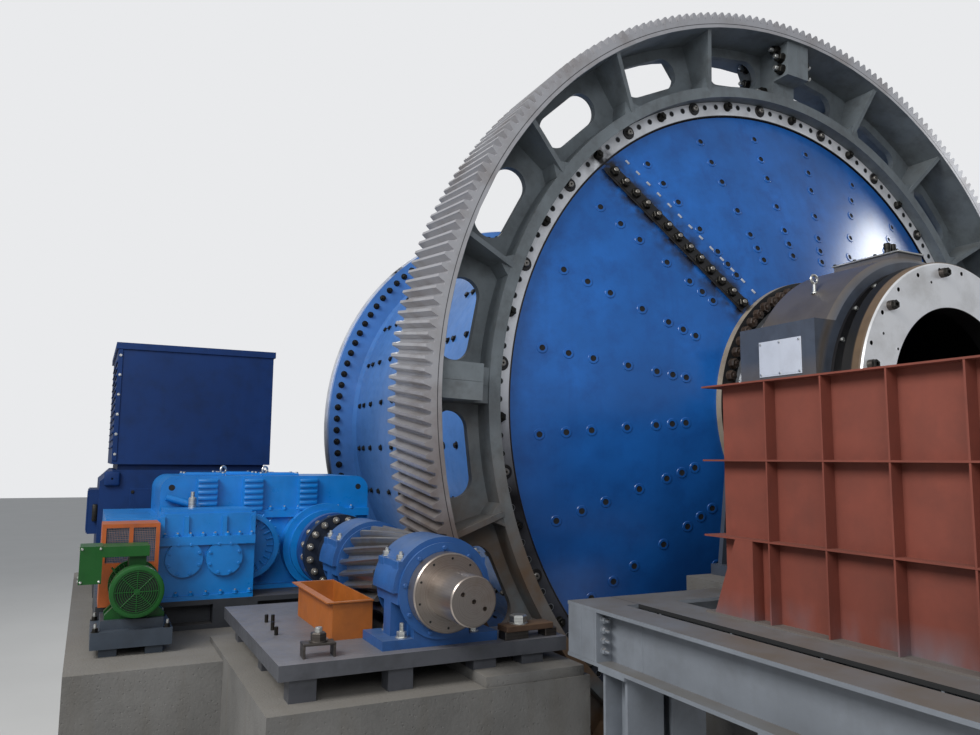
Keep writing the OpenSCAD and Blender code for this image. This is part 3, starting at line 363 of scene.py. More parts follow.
# Cast concrete: mottled grey, 3 cm pores and stones, dust on top and darker stains that run down
def castConcrete(name, hexText, poreHex, stainHex, dustHex):
    mat, shader, place = newMaterial(name)
    tone = mottled(mat, place, hexText, 0.62, 1.2, 1.1, 7, 0.3, 0.72, 0, 1, 0.65)
    pores = addNode(mat, "TexVoronoi", {"Vector": place, "Scale": 32.0})
    hollow = addNode(mat, "MapRange", (pores, 0.02, 0.12, 0.45, 0))
    tall = addNode(mat, "VectorMath", (place, (5, 5, 0.6)), **times)
    streaks = cloudsAt(mat, tall, 1.0, 5, 0.52, 0.76, 0, 0.55)
    fallen = addNode(mat, "Math", (facingUp(mat), 0.5), **times)
    grit = addNode(mat, "TexNoise", {"Vector": place, "Scale": 55.0, "Detail": 5, "Roughness": 0.55})
    height = addNode(mat, "Math", (addNode(mat, "MapRange", (pores, 0, 0.25)), grit), **plus)
    setSockets(mat, shader, {
        "Base Color": layered(mat, tone, (hollow, poreHex), (streaks, stainHex), (fallen, dustHex)),
        "Roughness": 0.88, "Normal": addNode(mat, "Bump", {"Height": height, "Strength": 0.5, "Distance": 0.006})})
    return mat


# The two looks of a part that is painted or cast in one place and machined in another, with a film and dark places; the
# film is real preservative on the gear and painted shade on the heads, and some dark places are painted shade
def twoFinishes(name, mask, plainHex, brightHex, plainRough, brightRough, darkHex=None, darkMask=None, dust=0.25,
                grain=230.0, peel=0.15, brightStain="#6b5540", dirt="#16181c", amount=0.3, dustHex="#a39d93",
                brightMetal=0.85, filmAndShadeHex=None, filmAndShadeMask=None):
    mat, shader, place = newMaterial(name)
    bright = mask(mat, place)
    clouds = cloudsAt(mat, place, 0.9, 5, 0.32, 0.68)
    light = mottled(mat, place, plainHex, 0.95, 1.28, 2.6, 6, 0.36, 0.64, 0, 1, 0.7)
    plain = addNode(mat, "Mix", {0: clouds, 6: linearColour(plainHex, 0.78), 7: light}, **colourMix)
    plain = soiledColour(mat, place, plain, dirt, amount, dust, dustHex)
    oil = cloudsAt(mat, place, 2.6, 6, 0.47, 0.74, 0, 0.45, 0.62)
    polished = layered(mat, linearColour(brightHex), (oil, brightStain))
    colour = addNode(mat, "Mix", {0: bright, 6: plain, 7: polished}, **colourMix)
    for cover, coverHex in ((filmAndShadeMask, filmAndShadeHex), (darkMask, darkHex)):
        if cover:
            colour = layered(mat, colour, (cover(mat, place), coverHex))
    setSockets(mat, shader, {
        "Base Color": colour, "Metallic": addNode(mat, "Math", (bright, brightMetal), **times),
        "Roughness": addNode(mat, "MapRange", (bright, 0, 1, plainRough, brightRough)),
        "Normal": finelyRough(mat, place, grain, 3, peel, 0.0012)})
    return mat


# Where each look begins and ends
axisCentre = (0, 0, mill["axis"])
pinionCentre = (pinion["x"], 0, pinion["z"])


def millRadius(mat, place):
    return radiusFrom(mat, place, axisCentre)


def oversprayMask(mat, place):  # grey paint that drifted on to the foot of the casing
    drift = cloudsAt(mat, addNode(mat, "VectorMath", (place, (1, 1, 0.4)), **times), 3.0, 4, 0.35, 0.65)
    return addNode(mat, "Math", (fadeAlong(mat, place, "Z", 3.0, 3.16, 0.8, 0), drift), **times)


def footRowMask(mat, place):  # the lowest rib lies on the girders and is as dusty as they are
    return fadeAlong(mat, place, "Z", 3.0005, 3.0025, 0.9, 0)


def slotShadeMask(mat, place):  # the flange edge inside the gap between the two girders
    away = addNode(mat, "Math", (addNode(mat, "SeparateXYZ", (place,), "X"), 0), **unsigned)
    return inBand(mat, away, 2.7675, 2.7725, 0.001)


def headRingMask(mat, place):
    return inBand(mat, millRadius(mat, place), 2.953, 3.2)


def headLowerShadeMask(mat, place):  # painted shade: a blotchy dark blue layer that makes the lower half of the cone darker
    film = cloudsAt(mat, place, 1.6, 5, 0.3, 0.6, 0.6, 1)
    return addNode(mat, "Math", (fadeAlong(mat, place, "Z", 2.6, 5.0, 0.85, 0), film), **times)


def headShadeAndOilMask(mat, place):  # painted shade in the groove beside the ring, real oil on the ring's lower left, and a painted shadow beside the joint strip
    radius = millRadius(mat, place)
    low, left = fadeAlong(mat, place, "Z", 3.6, 4.45, 1, 0), fadeAlong(mat, place, "X", -2.9, -1.2, 1, 0.4)
    patches, ring = cloudsAt(mat, place, 3.0, 4, 0.3, 0.55, 0.9, 1), inBand(mat, radius, 2.95, 3.1)
    oiled = addNode(mat, "Math", (addNode(mat, "Math", (low, left), **times),
                                  addNode(mat, "Math", (patches, ring), **times)), **times)
    moved = addNode(mat, "VectorMath", (place, axisCentre), **minus)
    across = addNode(mat, "VectorMath", (moved, onward(mill["jointTurn"])), "Value", operation="DOT_PRODUCT")
    away = addNode(mat, "Math", (across, 0), **unsigned)
    # painted shadow on both sides of the joint strip
    beside = addNode(mat, "MapRange", (away, 0.06, 0.24, 1.0, 0))
    jointShadow = addNode(mat, "Math", (beside, cloudsAt(mat, place, 7.0, 5, 0.36, 0.58)), **times)
    # painted shade in the groove beside the ring
    dark = addNode(mat, "Math", (inBand(mat, radius, 2.936, 2.955), jointShadow), **larger)
    return addNode(mat, "Math", (dark, oiled), **larger)


def gearBrightMask(mat, place):  # the cut teeth, and the turned rims of both faces
    radius = millRadius(mat, place)
    rim = addNode(mat, "MapRange", (radius, 3.672, 3.676))
    front = addNode(mat, "Math", (rim, fadeAlong(mat, place, "Y", 0.8205, 0.823, 1, 0)), **times)
    back = addNode(mat, "Math", (rim, fadeAlong(mat, place, "Y", 1.582, 1.5845)), **times)
    faces = addNode(mat, "Math", (front, back), **larger)
    return addNode(mat, "Math", (addNode(mat, "MapRange", (radius, 3.742, 3.746)), faces), **larger)


def gearFilmMask(mat, place):  # brown preservative that ran down and stayed on the lower segments
    film = cloudsAt(mat, place, 2.2, 5, 0.28, 0.56)
    return addNode(mat, "Math", (fadeAlong(mat, place, "Z", 2.9, 4.5, 0.95, 0), film), **times)


def gearDarkMask(mat, place):  # the circle scribed on the face of the rim
    return addNode(mat, "Math", (inBand(mat, millRadius(mat, place), 3.704, 3.709), 0.85), **times)


def fromMiddle(mat, place):  # distance from the middle of the mill, the same at both ends
    y = addNode(mat, "SeparateXYZ", (place,), "Y")
    return addNode(mat, "Math", (addNode(mat, "Math", (y, mill["feedEnd"] / 2), **minus), 0), **unsigned)


def trunnionBrightMask(mat, place):
    return addNode(mat, "MapRange", (millRadius(mat, place), 1.075, 1.08, 1, 0))


def trunnionGreaseAndShadeMask(mat, place):  # real grease on the front of the root flange, and painted shade that makes the inside of the bore dark
    radius = millRadius(mat, place)
    front = addNode(mat, "MapRange", (fromMiddle(mat, place), 3.0465, 3.0475))
    grease = addNode(mat, "Math", (inBand(mat, radius, 1.045, 1.1875), front), **times)
    # painted shade inside the bore
    return addNode(mat, "Math", (grease, addNode(mat, "MapRange", (radius, 0.7405, 0.742, 1, 0))), **larger)


def endRingMask(mat, place):  # the face that was turned bright, between the bore and the brown outer side
    return inBand(mat, millRadius(mat, place), 0.742, 1.090)


def endRingDarkMask(mat, place):  # painted shade inside the bore and the holes, and painted shade beside the bearing
    radius = millRadius(mat, place)
    sunk = fadeAlong(mat, place, "Y", -0.6445, -0.6440)
    holes = addNode(mat, "Math", (inBand(mat, radius, 1.005, 1.065), sunk), **times)
    outside = addNode(mat, "MapRange", (radius, 1.088, 1.092))
    behind = addNode(mat, "Math", (outside, fadeAlong(mat, place, "Y", -0.572, -0.560)), **times)
    inside = addNode(mat, "MapRange", (radius, 0.7405, 0.742, 1, 0))
    return addNode(mat, "Math", (inside, addNode(mat, "Math", (holes, behind), **larger)), **larger)


def capRoundMask(mat, place):  # the round back of the bearing cap, fading out over its chamfer
    return inBand(mat, millRadius(mat, place), 1.204, 1.206, 0.055)


def sealRingMask(mat, place):  # the black ring screwed to each end of a bearing
    past = addNode(mat, "Math", (fromMiddle(mat, place), mill["feedEnd"] / 2), **minus)
    outer = addNode(mat, "MapRange", (addNode(mat, "Math", (past, 0), **unsigned), 0.3750, 0.3756))
    inner = addNode(mat, "MapRange", (millRadius(mat, place), 1.087, 1.089, 1, 0))
    return addNode(mat, "Math", (inner, outer), **times)


def couplingRearMask(mat, place):
    return fadeAlong(mat, place, "Y", 2.74, 2.745, 1, 0)


looks = {
    "concrete": castConcrete("castConcrete", "#666563", "#4b4741", "#57524a", "#77736c"),
    "bearing": twoFinishes("greyBearingEnamelAndBareBack", capRoundMask, "#444b57", "#77706a", 0.38, 0.36, "#121114",
                           sealRingMask, dust=0.3, brightStain="#4a423d", dirt="#26211f", amount=0.35,
                           dustHex="#77777a", brightMetal=0.6),
    "basePlate": platePaint("oiledBasePlateSteel", "#484a50", 0.5, "#1b1c1d", 0.4, 0.75, "#76757a"),
    "barringBase": enamelPaint("darkBluePaintedBase", "#353f4b", 0.45, amount=0.35, dust=0.2, dustHex="#5a5f66"),
    "housing": enamelPaint("blueGreyHousingEnamel", "#23508a", 0.44, dirt="#161d28", dust=0.42, dustHex="#69747f"),
    "orange": enamelPaint("orangeTrayEnamel", "#a0591c", 0.5, dirt="#4a2a18", amount=0.35, dust=0.15),
    "guard": enamelPaint("orangeGuardEnamel", "#a9541f", 0.5, dirt="#40302c", amount=0.35, dustHex="#7d6b63"),
    "reducer": enamelPaint("blueReducerEnamel", "#0d78c6", 0.34, dirt="#0b2f5e", amount=0.2, dust=0.2,
                           dustHex="#5fa0d8", coat=0.2),
    "darkFrame": enamelPaint("darkFramePaint", "#2c2f35", 0.5, amount=0.4, dust=0.4, dustHex="#6d6862"),
    "motor": enamelPaint("navyMotorEnamel", "#0d2c5c", 0.5, dirt="#0a1424", dust=0.06, dustHex="#2d3f63", shine=0.2),
    "green": enamelPaint("greenMotorEnamel", "#13501c", 0.4, dirt="#0e2413", dust=0.12, dustHex="#5f6a5c", shine=0.3),
    "redPrimer": twoFinishes("redOxidePrimer", oversprayMask, "#73382b", "#62666f", 0.72, 0.6, "#5f5c58", footRowMask,
                             dust=0.25, brightStain="#6b6464", dirt="#4d2922", amount=0.3, dustHex="#7d5f53",
                             peel=0.05, brightMetal=0.0),
    "greyPrimer": twoFinishes("greyGirderPrimer", slotShadeMask, "#747a82", "#232425", 0.55, 0.6, dust=0.95,
                              brightStain="#232425", dirt="#55575b", amount=0.35, dustHex="#5f5950",
                              peel=0.05, brightMetal=0.0),
    "shell": enamelPaint("blueShellEnamel", "#4578bb", 0.36, dirt="#1f3d68", amount=0.25, dust=0.4,
                         dustHex="#8ca1c0", coat=0.3),
    # on the heads the film is painted shade on the lower cone; the dark places are painted shade in the groove, a
    # painted shadow beside the joint, and real oil
    "head": twoFinishes("blueHeadEnamelAndMachinedRing", headRingMask, "#1a5fae", "#e4e6ea", 0.27, 0.38, "#17161a",
                        headShadeAndOilMask, dust=0.08, dirt="#123a78", amount=0.4, dustHex="#7f97ba", brightMetal=0.3,
                        brightStain="#4d4640", filmAndShadeHex="#0e3064", filmAndShadeMask=headLowerShadeMask),
    "gear": twoFinishes("castGearAndCutTeeth", gearBrightMask, "#687075", "#b4b4b8", 0.58, 0.36, "#2c2d30",
                        gearDarkMask, dust=0.3, grain=300.0, peel=0.4, dirt="#33302c", amount=0.45,
                        dustHex="#777268", brightMetal=0.6, filmAndShadeHex="#604a35", filmAndShadeMask=gearFilmMask),
    "trunnion": twoFinishes("turnedTrunnionAndGreasedFlange", trunnionBrightMask, "#8b8172", "#b4b7bb", 0.6, 0.3,
                            "#17181a", trunnionGreaseAndShadeMask, dust=0.3, dirt="#4b4036", amount=0.45),
    "endRing": twoFinishes("brownEndRingWithBrightFace", endRingMask, "#64523f", "#f1f2f4", 0.42, 0.32, "#131314",
                           endRingDarkMask, dust=0.1, brightStain="#9c9890", dirt="#3a2f26", amount=0.4,
                           brightMetal=0.5),
    "pinionSteel": machinedSteel("cutPinionSteel", "#9a9795", 0.34, pinionCentre, stained=0.45, marks=200.0),
    "shaftSteel": machinedSteel("turnedShaftSteel", "#aaa19a", 0.30, pinionCentre, stained=0.5, marks=240.0),
    "coupling": twoFinishes("blackAndBlueCouplingPaint", couplingRearMask, "#1d4a8c", "#222a3a", 0.42, 0.42,
                            dust=0.15, brightStain="#17191d", brightMetal=0.3),
}
carried = {
    "concrete": ["discharge_pier", "feed_pier", "pinion_plinth", "drive_plinth"],
    "bearing": ["discharge_bearing_base", "discharge_bearing_cap", "feed_bearing_base", "feed_bearing_cap"],
    "basePlate": ["pinion_base_plate"], "barringBase": ["barring_base"],
    "housing": ["front_housing_base", "front_housing_cap", "rear_housing_base", "rear_housing_cap"],
    "orange": ["pinion_tray"], "guard": ["coupling_guard"],
    "darkFrame": ["reducer_frame", "motor_frame"],
    "reducer": ["reducer_lower_case", "reducer_upper_case"],
    "motor": ["motor_body", "motor_cooler"],
    "green": ["barring_motor"],
    "redPrimer": ["casing_left", "casing_right", "casing_back", "casing_front"],
    "greyPrimer": ["girder_left", "girder_right", "girder_cross"],
    "shell": ["shell"], "head": ["discharge_head", "feed_head"],
    "trunnion": ["discharge_trunnion", "feed_trunnion"], "endRing": ["discharge_ring"],
    "gear": ["gear_segment_1", "gear_segment_2", "gear_segment_3", "gear_segment_4"],
    "pinionSteel": ["pinion"], "shaftSteel": ["pinion_shaft"], "coupling": ["coupling"],
}
for look, names in carried.items():
    for name in names:
        dress(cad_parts[name], looks[look])
print("stage: materials on the packed pieces")

# Materials of the small fittings
blackSteel = machinedSteel("blackenedBoltSteel", "#33322f", 0.42, stain="#191715", stained=0.6, marks=60.0)
greasySteel = machinedSteel("greasyGreySteel", "#5b5652", 0.45, stain="#2b2521", stained=0.6, marks=60.0)
zincSteel = machinedSteel("zincPlatedSteel", "#c4c5c2", 0.36, stain="#77746c", stained=0.4, marks=60.0)
dullSteel = machinedSteel("dullGreySteel", "#9b9791", 0.42, stain="#3f3830", stained=0.6, marks=60.0)
wireSteel = machinedSteel("dustyMeshWire", "#a59aa0", 0.55, stain="#5d4a45", stained=0.5, marks=60.0)
ringSteel = machinedSteel("brightRingSteel", "#a9adb4", 0.34, axisCentre, stained=0.3)
rustyPlate = enamelPaint("brownRustedSteel", "#4c3727", 0.75, dirt="#2a1b12", amount=0.5, dustHex="#7d6549", peel=0.3)
rustyNut = enamelPaint("greasyBrownNut", "#3a2d25", 0.5, dirt="#15110e", amount=0.6, dust=0.25, dustHex="#6f5f50",
                       peel=0.2)
brightBar = enamelPaint("brightBareBar", "#b4bac4", 0.35, dirt="#8a8a88", dust=0.0)
# painted shade: near-black faces put in the mouths and floors of holes and hollows, where shade falls
holeShade = enamelPaint("paintedShadeInHoles", "#0b0c0f", 0.8, amount=0.2, dust=0.0)
whiteEnamel = enamelPaint("whitePlateEnamel", "#c4cad6", 0.35, dirt="#8e9096", amount=0.25, dust=0.1)
blackPaint = enamelPaint("blackOilyPaint", "#161517", 0.42, dirt="#241d17", amount=0.5, dust=0.1)

seated = 0.002  # each fastener is modelled once along +Z and reaches this far into its surface
# The parts of a nut as shares of its width across the flats
nutShape = {"bevel": 0.07, "washer": 0.62, "washerHigh": 0.1, "washerBevel": 0.02, "stud": 0.27, "studBevel": 0.05}


def hexNut(across, height, washer=1.0, stud=0.0, material=blackSteel, studMaterial=zincSteel):
    size = {part: across * share for part, share in nutShape.items()}
    parts = [dress(addRound(across / math.sqrt(3), -seated, height, 6, size["bevel"]), material)]
    if washer:
        disc = addRound(size["washer"] * washer, -seated, size["washerHigh"], 14, size["washerBevel"])
        parts.append(dress(disc, material))
    if stud:
        tip = addRound(size["stud"], height - seated / 2, height + stud, 8, size["studBevel"])
        parts.append(dress(tip, studMaterial))
    return joinAll(parts)


def socketBolt(radius):  # a round head with a hollow whose floor carries painted shade, on a wide black washer
    washer = dress(addRound(radius, -seated, 0.012, 20, 0.004), blackPaint)
    head = sinkTop(addRound(radius * 0.46, 0.011, 0.036, 12, 0.005), radius * 0.22, 0.018)
    markFaces(dress(head, dullSteel, holeShade), 1, lambda c, n: c.z < 0.03 and n.z > 0.9)
    return joinAll([washer, head])


def boltHole(radius, edge, rim):  # a chamfered rim round a flat mouth coloured with painted shade
    mouth = dress(sinkTop(addRound(radius + edge, -seated, 0.0015, 16), edge, 0), rim, holeShade)
    return markFaces(mouth, 1, lambda c, n: n.z > 0.9 and math.hypot(c.x, c.y) < radius * 0.5)


def linerHole(radius, hole, height, paint):  # a raised ring round the mouth of a liner bolt hole, with painted shade on the floor of the hole
    ring = addRound(radius, -0.004, height, 18, 0.004)
    ring = dress(sinkTop(ring, radius - hole - 0.004, height - 0.0015), paint, holeShade)
    return markFaces(ring, 1, lambda c, n: math.hypot(c.x, c.y) < hole * 1.02 and c.z < height - 0.001)


def addTorus(ring, thick, around, across, **place):
    deselectAll()
    bpy.ops.mesh.primitive_torus_add(major_radius=ring, minor_radius=thick, major_segments=around,
                                     minor_segments=across, **place)
    return applyPlace()


def eyeBolt(ring, thick, material, neckLong=0.0):
    eye = addTorus(ring, thick, 20, 8, location=(0, 0, ring * 1.75 + neckLong), rotation=(math.pi / 2, 0, 0))
    foot = addRound(ring * 0.8, -seated, ring * 0.35, 14, ring * 0.1)
    neck = addRound(thick * 1.3, ring * 0.3, ring * 0.95 + neckLong, 10, thick * 0.2)
    return joinAll([dress(part, material) for part in (eye, foot, neck)])


def plainBlock(material, low, high, bevel, segments=1):
    return dress(addBlock(low, high, bevel, segments), material)


def steppedBlock(material, low, high, bevel, inset, step):  # a block with a flat step on its top face
    return dress(raiseTop(addBlock(low, high, bevel), inset, step), material)


def placed(name, piece, place, body):
    piece.matrix_world = place
    finishPiece(name, piece, body)


# Bolted ring of the discharge head: each third place has a fastener, by turns a socket bolt and a nut on its stud
ringStep = 360 / mill["ringPlaces"]
ringPlace = [onMillFace(mill["ringRadius"], mill["ringTurn"] - k * ringStep, mill["ringFace"])
             for k in range(mill["ringPlaces"])]
ringNut = hexNut(0.072, 0.044, 1.0, 0.018, studMaterial=blackSteel)
repeatAt("ring_socket_bolts", socketBolt(0.060), ringPlace[0::6], "mill")
repeatAt("ring_stud_nuts", ringNut, ringPlace[3::6], "mill")
openPlaces = [place for k, place in enumerate(ringPlace) if k % 3]
repeatAt("ring_open_holes", boltHole(0.024, 0.004, ringSteel), openPlaces, "mill")

# Liner bolt holes of the heads
liner = {"columns": 24, "turn": 125.4, "radii": (2.71, 2.49, 2.28, 1.98, 1.73, 1.59, 1.47),
         "ring": 0.047, "hole": 0.0255, "height": 0.006}
linerPlaces = []
for column in range(liner["columns"]):
    angle = liner["turn"] + column * 360 / liner["columns"]
    linerPlaces += [facing(onCone(radius, angle), coneOut(angle)) for radius in liner["radii"]]
linerModel = linerHole(liner["ring"], liner["hole"], liner["height"], looks["head"])
atBothHeads("liner_holes", linerModel, linerPlaces)

# The bolted joint between the two halves of each head, with a row of small bright bars beside it
joint = {"from": 1.195, "to": 2.910, "first": 1.264, "step": 0.1304, "nuts": 13, "across": 0.0784,
         "aside": 0.203, "top": 0.0165, "halfWide": 0.064}
jointNuts, jointBars, jointStrips = [], [], []
for angle in (mill["jointTurn"], mill["jointTurn"] + 180):
    along, out = (outward(angle) + Vector((0, coneSlope(), 0))).normalized(), coneOut(angle)
    jointStrips.append(framed(onCone((joint["from"] + joint["to"]) / 2, angle, joint["top"] - 0.003), along, out))
    for k in range(joint["nuts"]):
        reach = joint["first"] + k * joint["step"]
        jointNuts.append(facing(onCone(reach, angle, joint["top"] + 0.005), out, spin=k * 23))
        point = onCone(reach - 0.012, angle) - onward(angle) * joint["aside"]
        high = point.z - mill["axis"]
        turned, radius = math.degrees(math.atan2(high, point.x)), math.hypot(high, point.x)
        out2 = coneOut(turned)
        jointBars.append(framed(onCone(radius, turned), along - out2 * along.dot(out2), out2))
halfLong = (joint["to"] - joint["from"]) / 2
stripModel = steppedBlock(blackPaint, (-halfLong, -joint["halfWide"], 0), (halfLong, joint["halfWide"], 0.009),
                          0.003, 0.014, 0.004)
barModel = addBlock((-0.023, -0.009, -0.004), (0.023, 0.009, 0.008), 0.003, 2)
barModel = dress(raiseTop(barModel, 0.003, 0.002), brightBar)
nutModel = hexNut(joint["across"], 0.042, 0.95, 0.014, studMaterial=dullSteel)
atBothHeads("joint_strips", stripModel, jointStrips, True)
atBothHeads("joint_nuts", nutModel, jointNuts)
atBothHeads("joint_bars", barModel, jointBars, True)
print("stage: discharge head")

# Root flanges of the trunnions, the end ring and its lugs
root = {"radius": 1.118, "nuts": 64, "front": 0.640, "across": 0.0782}
rootPlaces = [onMillFace(root["radius"], 3 + k * 360 / root["nuts"], root["front"], spin=k * 17)
              for k in range(root["nuts"])]
atBothHeads("root_nuts", hexNut(root["across"], 0.05, 0.95, 0.016, rustyNut, rustyNut), rootPlaces)
lug = {"turns": (137.0, 166.5, 96.5, 26.5, 346.5, 316.5, 276.5, 206.5), "radius": 1.010, "thick": 0.037, "long": 0.062}
lugPlaces = [onMillFace(lug["radius"], turn, mill["endRingFace"]) for turn in lug["turns"]]
lugFoot = dress(addRound(lug["thick"], -seated, lug["long"] * 0.6, 18, 0.003), greasySteel)
lugHead = addRound(lug["thick"] * 0.94, lug["long"] * 0.59, lug["long"], 6, 0.004)
lugHead = dress(sinkTop(lugHead, 0.012, 0.012), blackSteel)
repeatAt("end_ring_lugs", joinAll([lugFoot, lugHead]), lugPlaces, "mill")
smallPlaces = [onMillFace(radius, first + k * 360 / count, mill["endRingFace"])
               for radius, first, count in ((0.95, 105, 8), (0.767, 151, 4)) for k in range(count)]
repeatAt("end_ring_dowel_holes", boltHole(0.011, 0.003, looks["endRing"]), smallPlaces, "mill")

# Flange at the feed end, the back of the bolted ring and the liner bolts of the shell
feedFlange = {"radius": 2.955, "count": 120, "front": 6.086, "back": 6.236, "across": 0.062, "ringBack": 1.350}
frontPlaces, backPlaces = [
    [onMillFace(feedFlange["radius"], 1.5 + 3 * k, feedFlange[side], k * spin, way) for k in range(feedFlange["count"])]
    for side, spin, way in (("front", 19, -1), ("back", 11, 1))]
behindPlaces = [onMillFace(mill["ringRadius"], mill["ringTurn"] - k * 3 * ringStep, feedFlange["ringBack"], 0, 1)
                for k in range(mill["ringPlaces"] // 3)]
nutModel = hexNut(feedFlange["across"], 0.046, 1.15, 0.02, studMaterial=blackSteel)
repeatAt("feed_flange_nuts_front", nutModel, frontPlaces, "mill", keep=True)
repeatAt("feed_flange_nuts_back", nutModel, backPlaces, "mill", keep=True)
repeatAt("ring_nuts_behind", nutModel, behindPlaces, "mill")
shellBolts = {"columns": 30, "turn": 150.8,
              "rows": (1.66, 1.95, 2.35, 2.75, 3.07, 3.23, 3.72, 4.12, 4.63, 5.03, 5.44, 5.72, 5.90)}
shellPlaces = []
for k in range(shellBolts["columns"]):
    angle = shellBolts["turn"] + k * 360 / shellBolts["columns"]
    shellPlaces += [facing(onMill(mill["shellRadius"] - 0.003, angle, y), outward(angle), spin=k * 31 + y * 90)
                    for y in shellBolts["rows"]]
repeatAt("shell_liner_bolts", hexNut(0.05, 0.03, 1.3), shellPlaces, "mill")
print("stage: shell and trunnion fasteners")

# Bolts through the joint flanges of the gear
gearJoint = {"turn": 88, "thick": 0.140,
             "places": ((3.26, 1.17), (3.40, 0.93), (3.52, 0.93), (3.62, 0.99), (3.62, 1.40), (3.44, 1.40))}
jointPlaces = []
for quarter in range(4):
    angle = gearJoint["turn"] + 90 * quarter
    for side in (-1, 1):
        for radius, y in gearJoint["places"][0 if quarter % 2 == 0 else 4:]:
            point = onMill(radius, angle, y) + onward(angle) * side * gearJoint["thick"]
            jointPlaces.append(facing(point, onward(angle) * side, spin=radius * 100))
repeatAt("gear_joint_nuts", hexNut(0.085, 0.06, 1.0, 0.045), jointPlaces, "mill")
print("stage: girth gear")

# Main bearings: seal ring bolts, joint and anchor bolts, inspection covers and lifting eyes
bearing = {"sealRadius": 1.062, "sealFront": 0.400, "seals": 22, "joint": mill["axis"] + 0.090,
           "foot": mill["axis"] - 1.25, "pad": mill["axis"] + 0.888, "top": mill["axis"] + 1.250, "coverHigh": 0.011}
bothEnds, bothSides = (0, mill["feedEnd"]), (-1, 1)


def bearingRow(name, model, places):  # on the discharge bearing, and mirrored on the feed bearing
    repeatAt(name, model, places + [atFeedEnd(place) for place in places], "root")


sealPlaces = [onMillFace(bearing["sealRadius"], 122.1 + k * 360 / bearing["seals"], way * bearing["sealFront"], 0, way)
              for k in range(bearing["seals"]) for way in bothSides]
jointPlaces = [upAt(sx * 1.31, y, bearing["joint"], 20) for sx in bothSides for y in (-0.29, -0.1, 0.1, 0.29)]
anchorPlaces = [upAt(sx * 1.42, y, bearing["foot"], 8) for sx in bothSides for y in (-0.21, 0.21)]
bearingRow("bearing_seal_bolts", hexNut(0.03, 0.016, 0, 0, zincSteel), sealPlaces)
bearingRow("bearing_joint_nuts", hexNut(0.06, 0.045, 1.0, 0.03), jointPlaces)
bearingRow("bearing_anchor_nuts", hexNut(0.095, 0.075, 1.1, 0.06), anchorPlaces)
coverModel = steppedBlock(zincSteel, (-0.165, -0.325, 0), (0.165, 0.325, 0.014), 0.003, 0.02, 0.006)
coverPlaces = [Matrix.Translation((0, y, bearing["top"] - seated)) for y in bothEnds]
coverBolts = [upAt(sx * 0.148, y + sy, bearing["top"] + bearing["coverHigh"])
              for y in bothEnds for sx in bothSides for sy in (-0.3, -0.1, 0.1, 0.3)]
eyePlaces = [Matrix.Translation((sx * 0.80, y, bearing["pad"])) for sx in bothSides
             for y in (-0.03, mill["feedEnd"] + 0.03)]
repeatAt("bearing_covers", coverModel, coverPlaces, "root")
repeatAt("bearing_cover_bolts", hexNut(0.026, 0.014), coverBolts, "root")
repeatAt("bearing_lifting_eyes", eyeBolt(0.034, 0.011, zincSteel, 0.055), eyePlaces, "root")
# Bare plate on the flat side of the cap, held by six screws
sidePlate = {"x": -1.215, "y": -0.04, "z": mill["axis"] + 0.34}
plate = steppedBlock(whiteEnamel, (-0.140, -0.21, 0), (0.140, 0.21, 0.006), 0.002, 0.012, 0.001)
platePlace = framed((sidePlate["x"], sidePlate["y"], sidePlate["z"]), (0, 0, 1), (-1, 0, 0))
placed("bearing_side_plate", plate, platePlace, "root")
screwPlaces = [facing((sidePlate["x"] - 0.006, sidePlate["y"] + sy, sidePlate["z"] + sz), (-1, 0, 0))
               for sy in (-0.19, 0, 0.19) for sz in (-0.12, 0.12)]
repeatAt("bearing_plate_screws", hexNut(0.016, 0.008, 0, 0, zincSteel), screwPlaces, "root")
# Two capped grease inlets side by side on the pad
inlet = dress(addRound(0.024, -0.004, 0.053, 16, 0.003), blackSteel)
inletCap = dress(sinkTop(addRound(0.028, 0.052, 0.100, 16, 0.005), 0.009, 0.006), blackSteel)
inletPlaces = [upAt(x, -0.20, bearing["top"] - seated) for x in (-0.125, -0.058)]
bearingRow("bearing_grease_inlets", joinAll([inlet, inletCap]), inletPlaces)
print("stage: main bearings")

# Pinion housings: shoulder bolts, foot bolts, ring screws and the bolts of the round covers
housing = {"fronts": (0.320, 1.695), "length": 0.390, "inFrom": 0.065, "shoulder": 0.190, "foot": -0.284,
           "faces": ((0.300, -1), (0.730, 1), (1.675, -1), (2.105, 1))}
corners = [(sx, y) for front in housing["fronts"] for sx in bothSides
           for y in (front + housing["inFrom"], front + housing["length"] - housing["inFrom"])]
shoulders = [Matrix.Translation((pinion["x"] + sx * 0.262, y, pinion["z"] + housing["shoulder"] - 0.012))
             for sx, y in corners]
feet = [upAt(pinion["x"] + sx * 0.247, y, pinion["z"] + housing["foot"], 12) for sx, y in corners]
seat = steppedBlock(looks["housing"], (-0.042, -0.05, -0.06), (0.038, 0.05, 0.014), 0.005, 0.008, 0.002)
nut = hexNut(0.05, 0.034, 1.0, 0.02, zincSteel)
nut.matrix_world = Matrix.Translation((0, 0, 0.014))
repeatAt("housing_shoulder_bolts", joinAll([seat, nut]), shoulders, "root")
repeatAt("housing_foot_bolts", hexNut(0.055, 0.04, 1.2, 0.05, zincSteel), feet, "root")
screwPlaces = [onPinionFace(0.212, 15 + 36 * k, 0.1945) for k in range(10)]
repeatAt("seal_ring_screws", boltHole(0.008, 0.003, looks["shaftSteel"]), screwPlaces, "pinion_shaft")
coverPlaces = [onPinionFace(0.268, 10 + 40 * k, y, k * 7, way) for k in range(9) for y, way in housing["faces"]]
coverBolt = hexNut(0.024, 0.014, material=looks["housing"])
repeatAt("housing_cover_bolts", coverBolt, coverPlaces, "root")
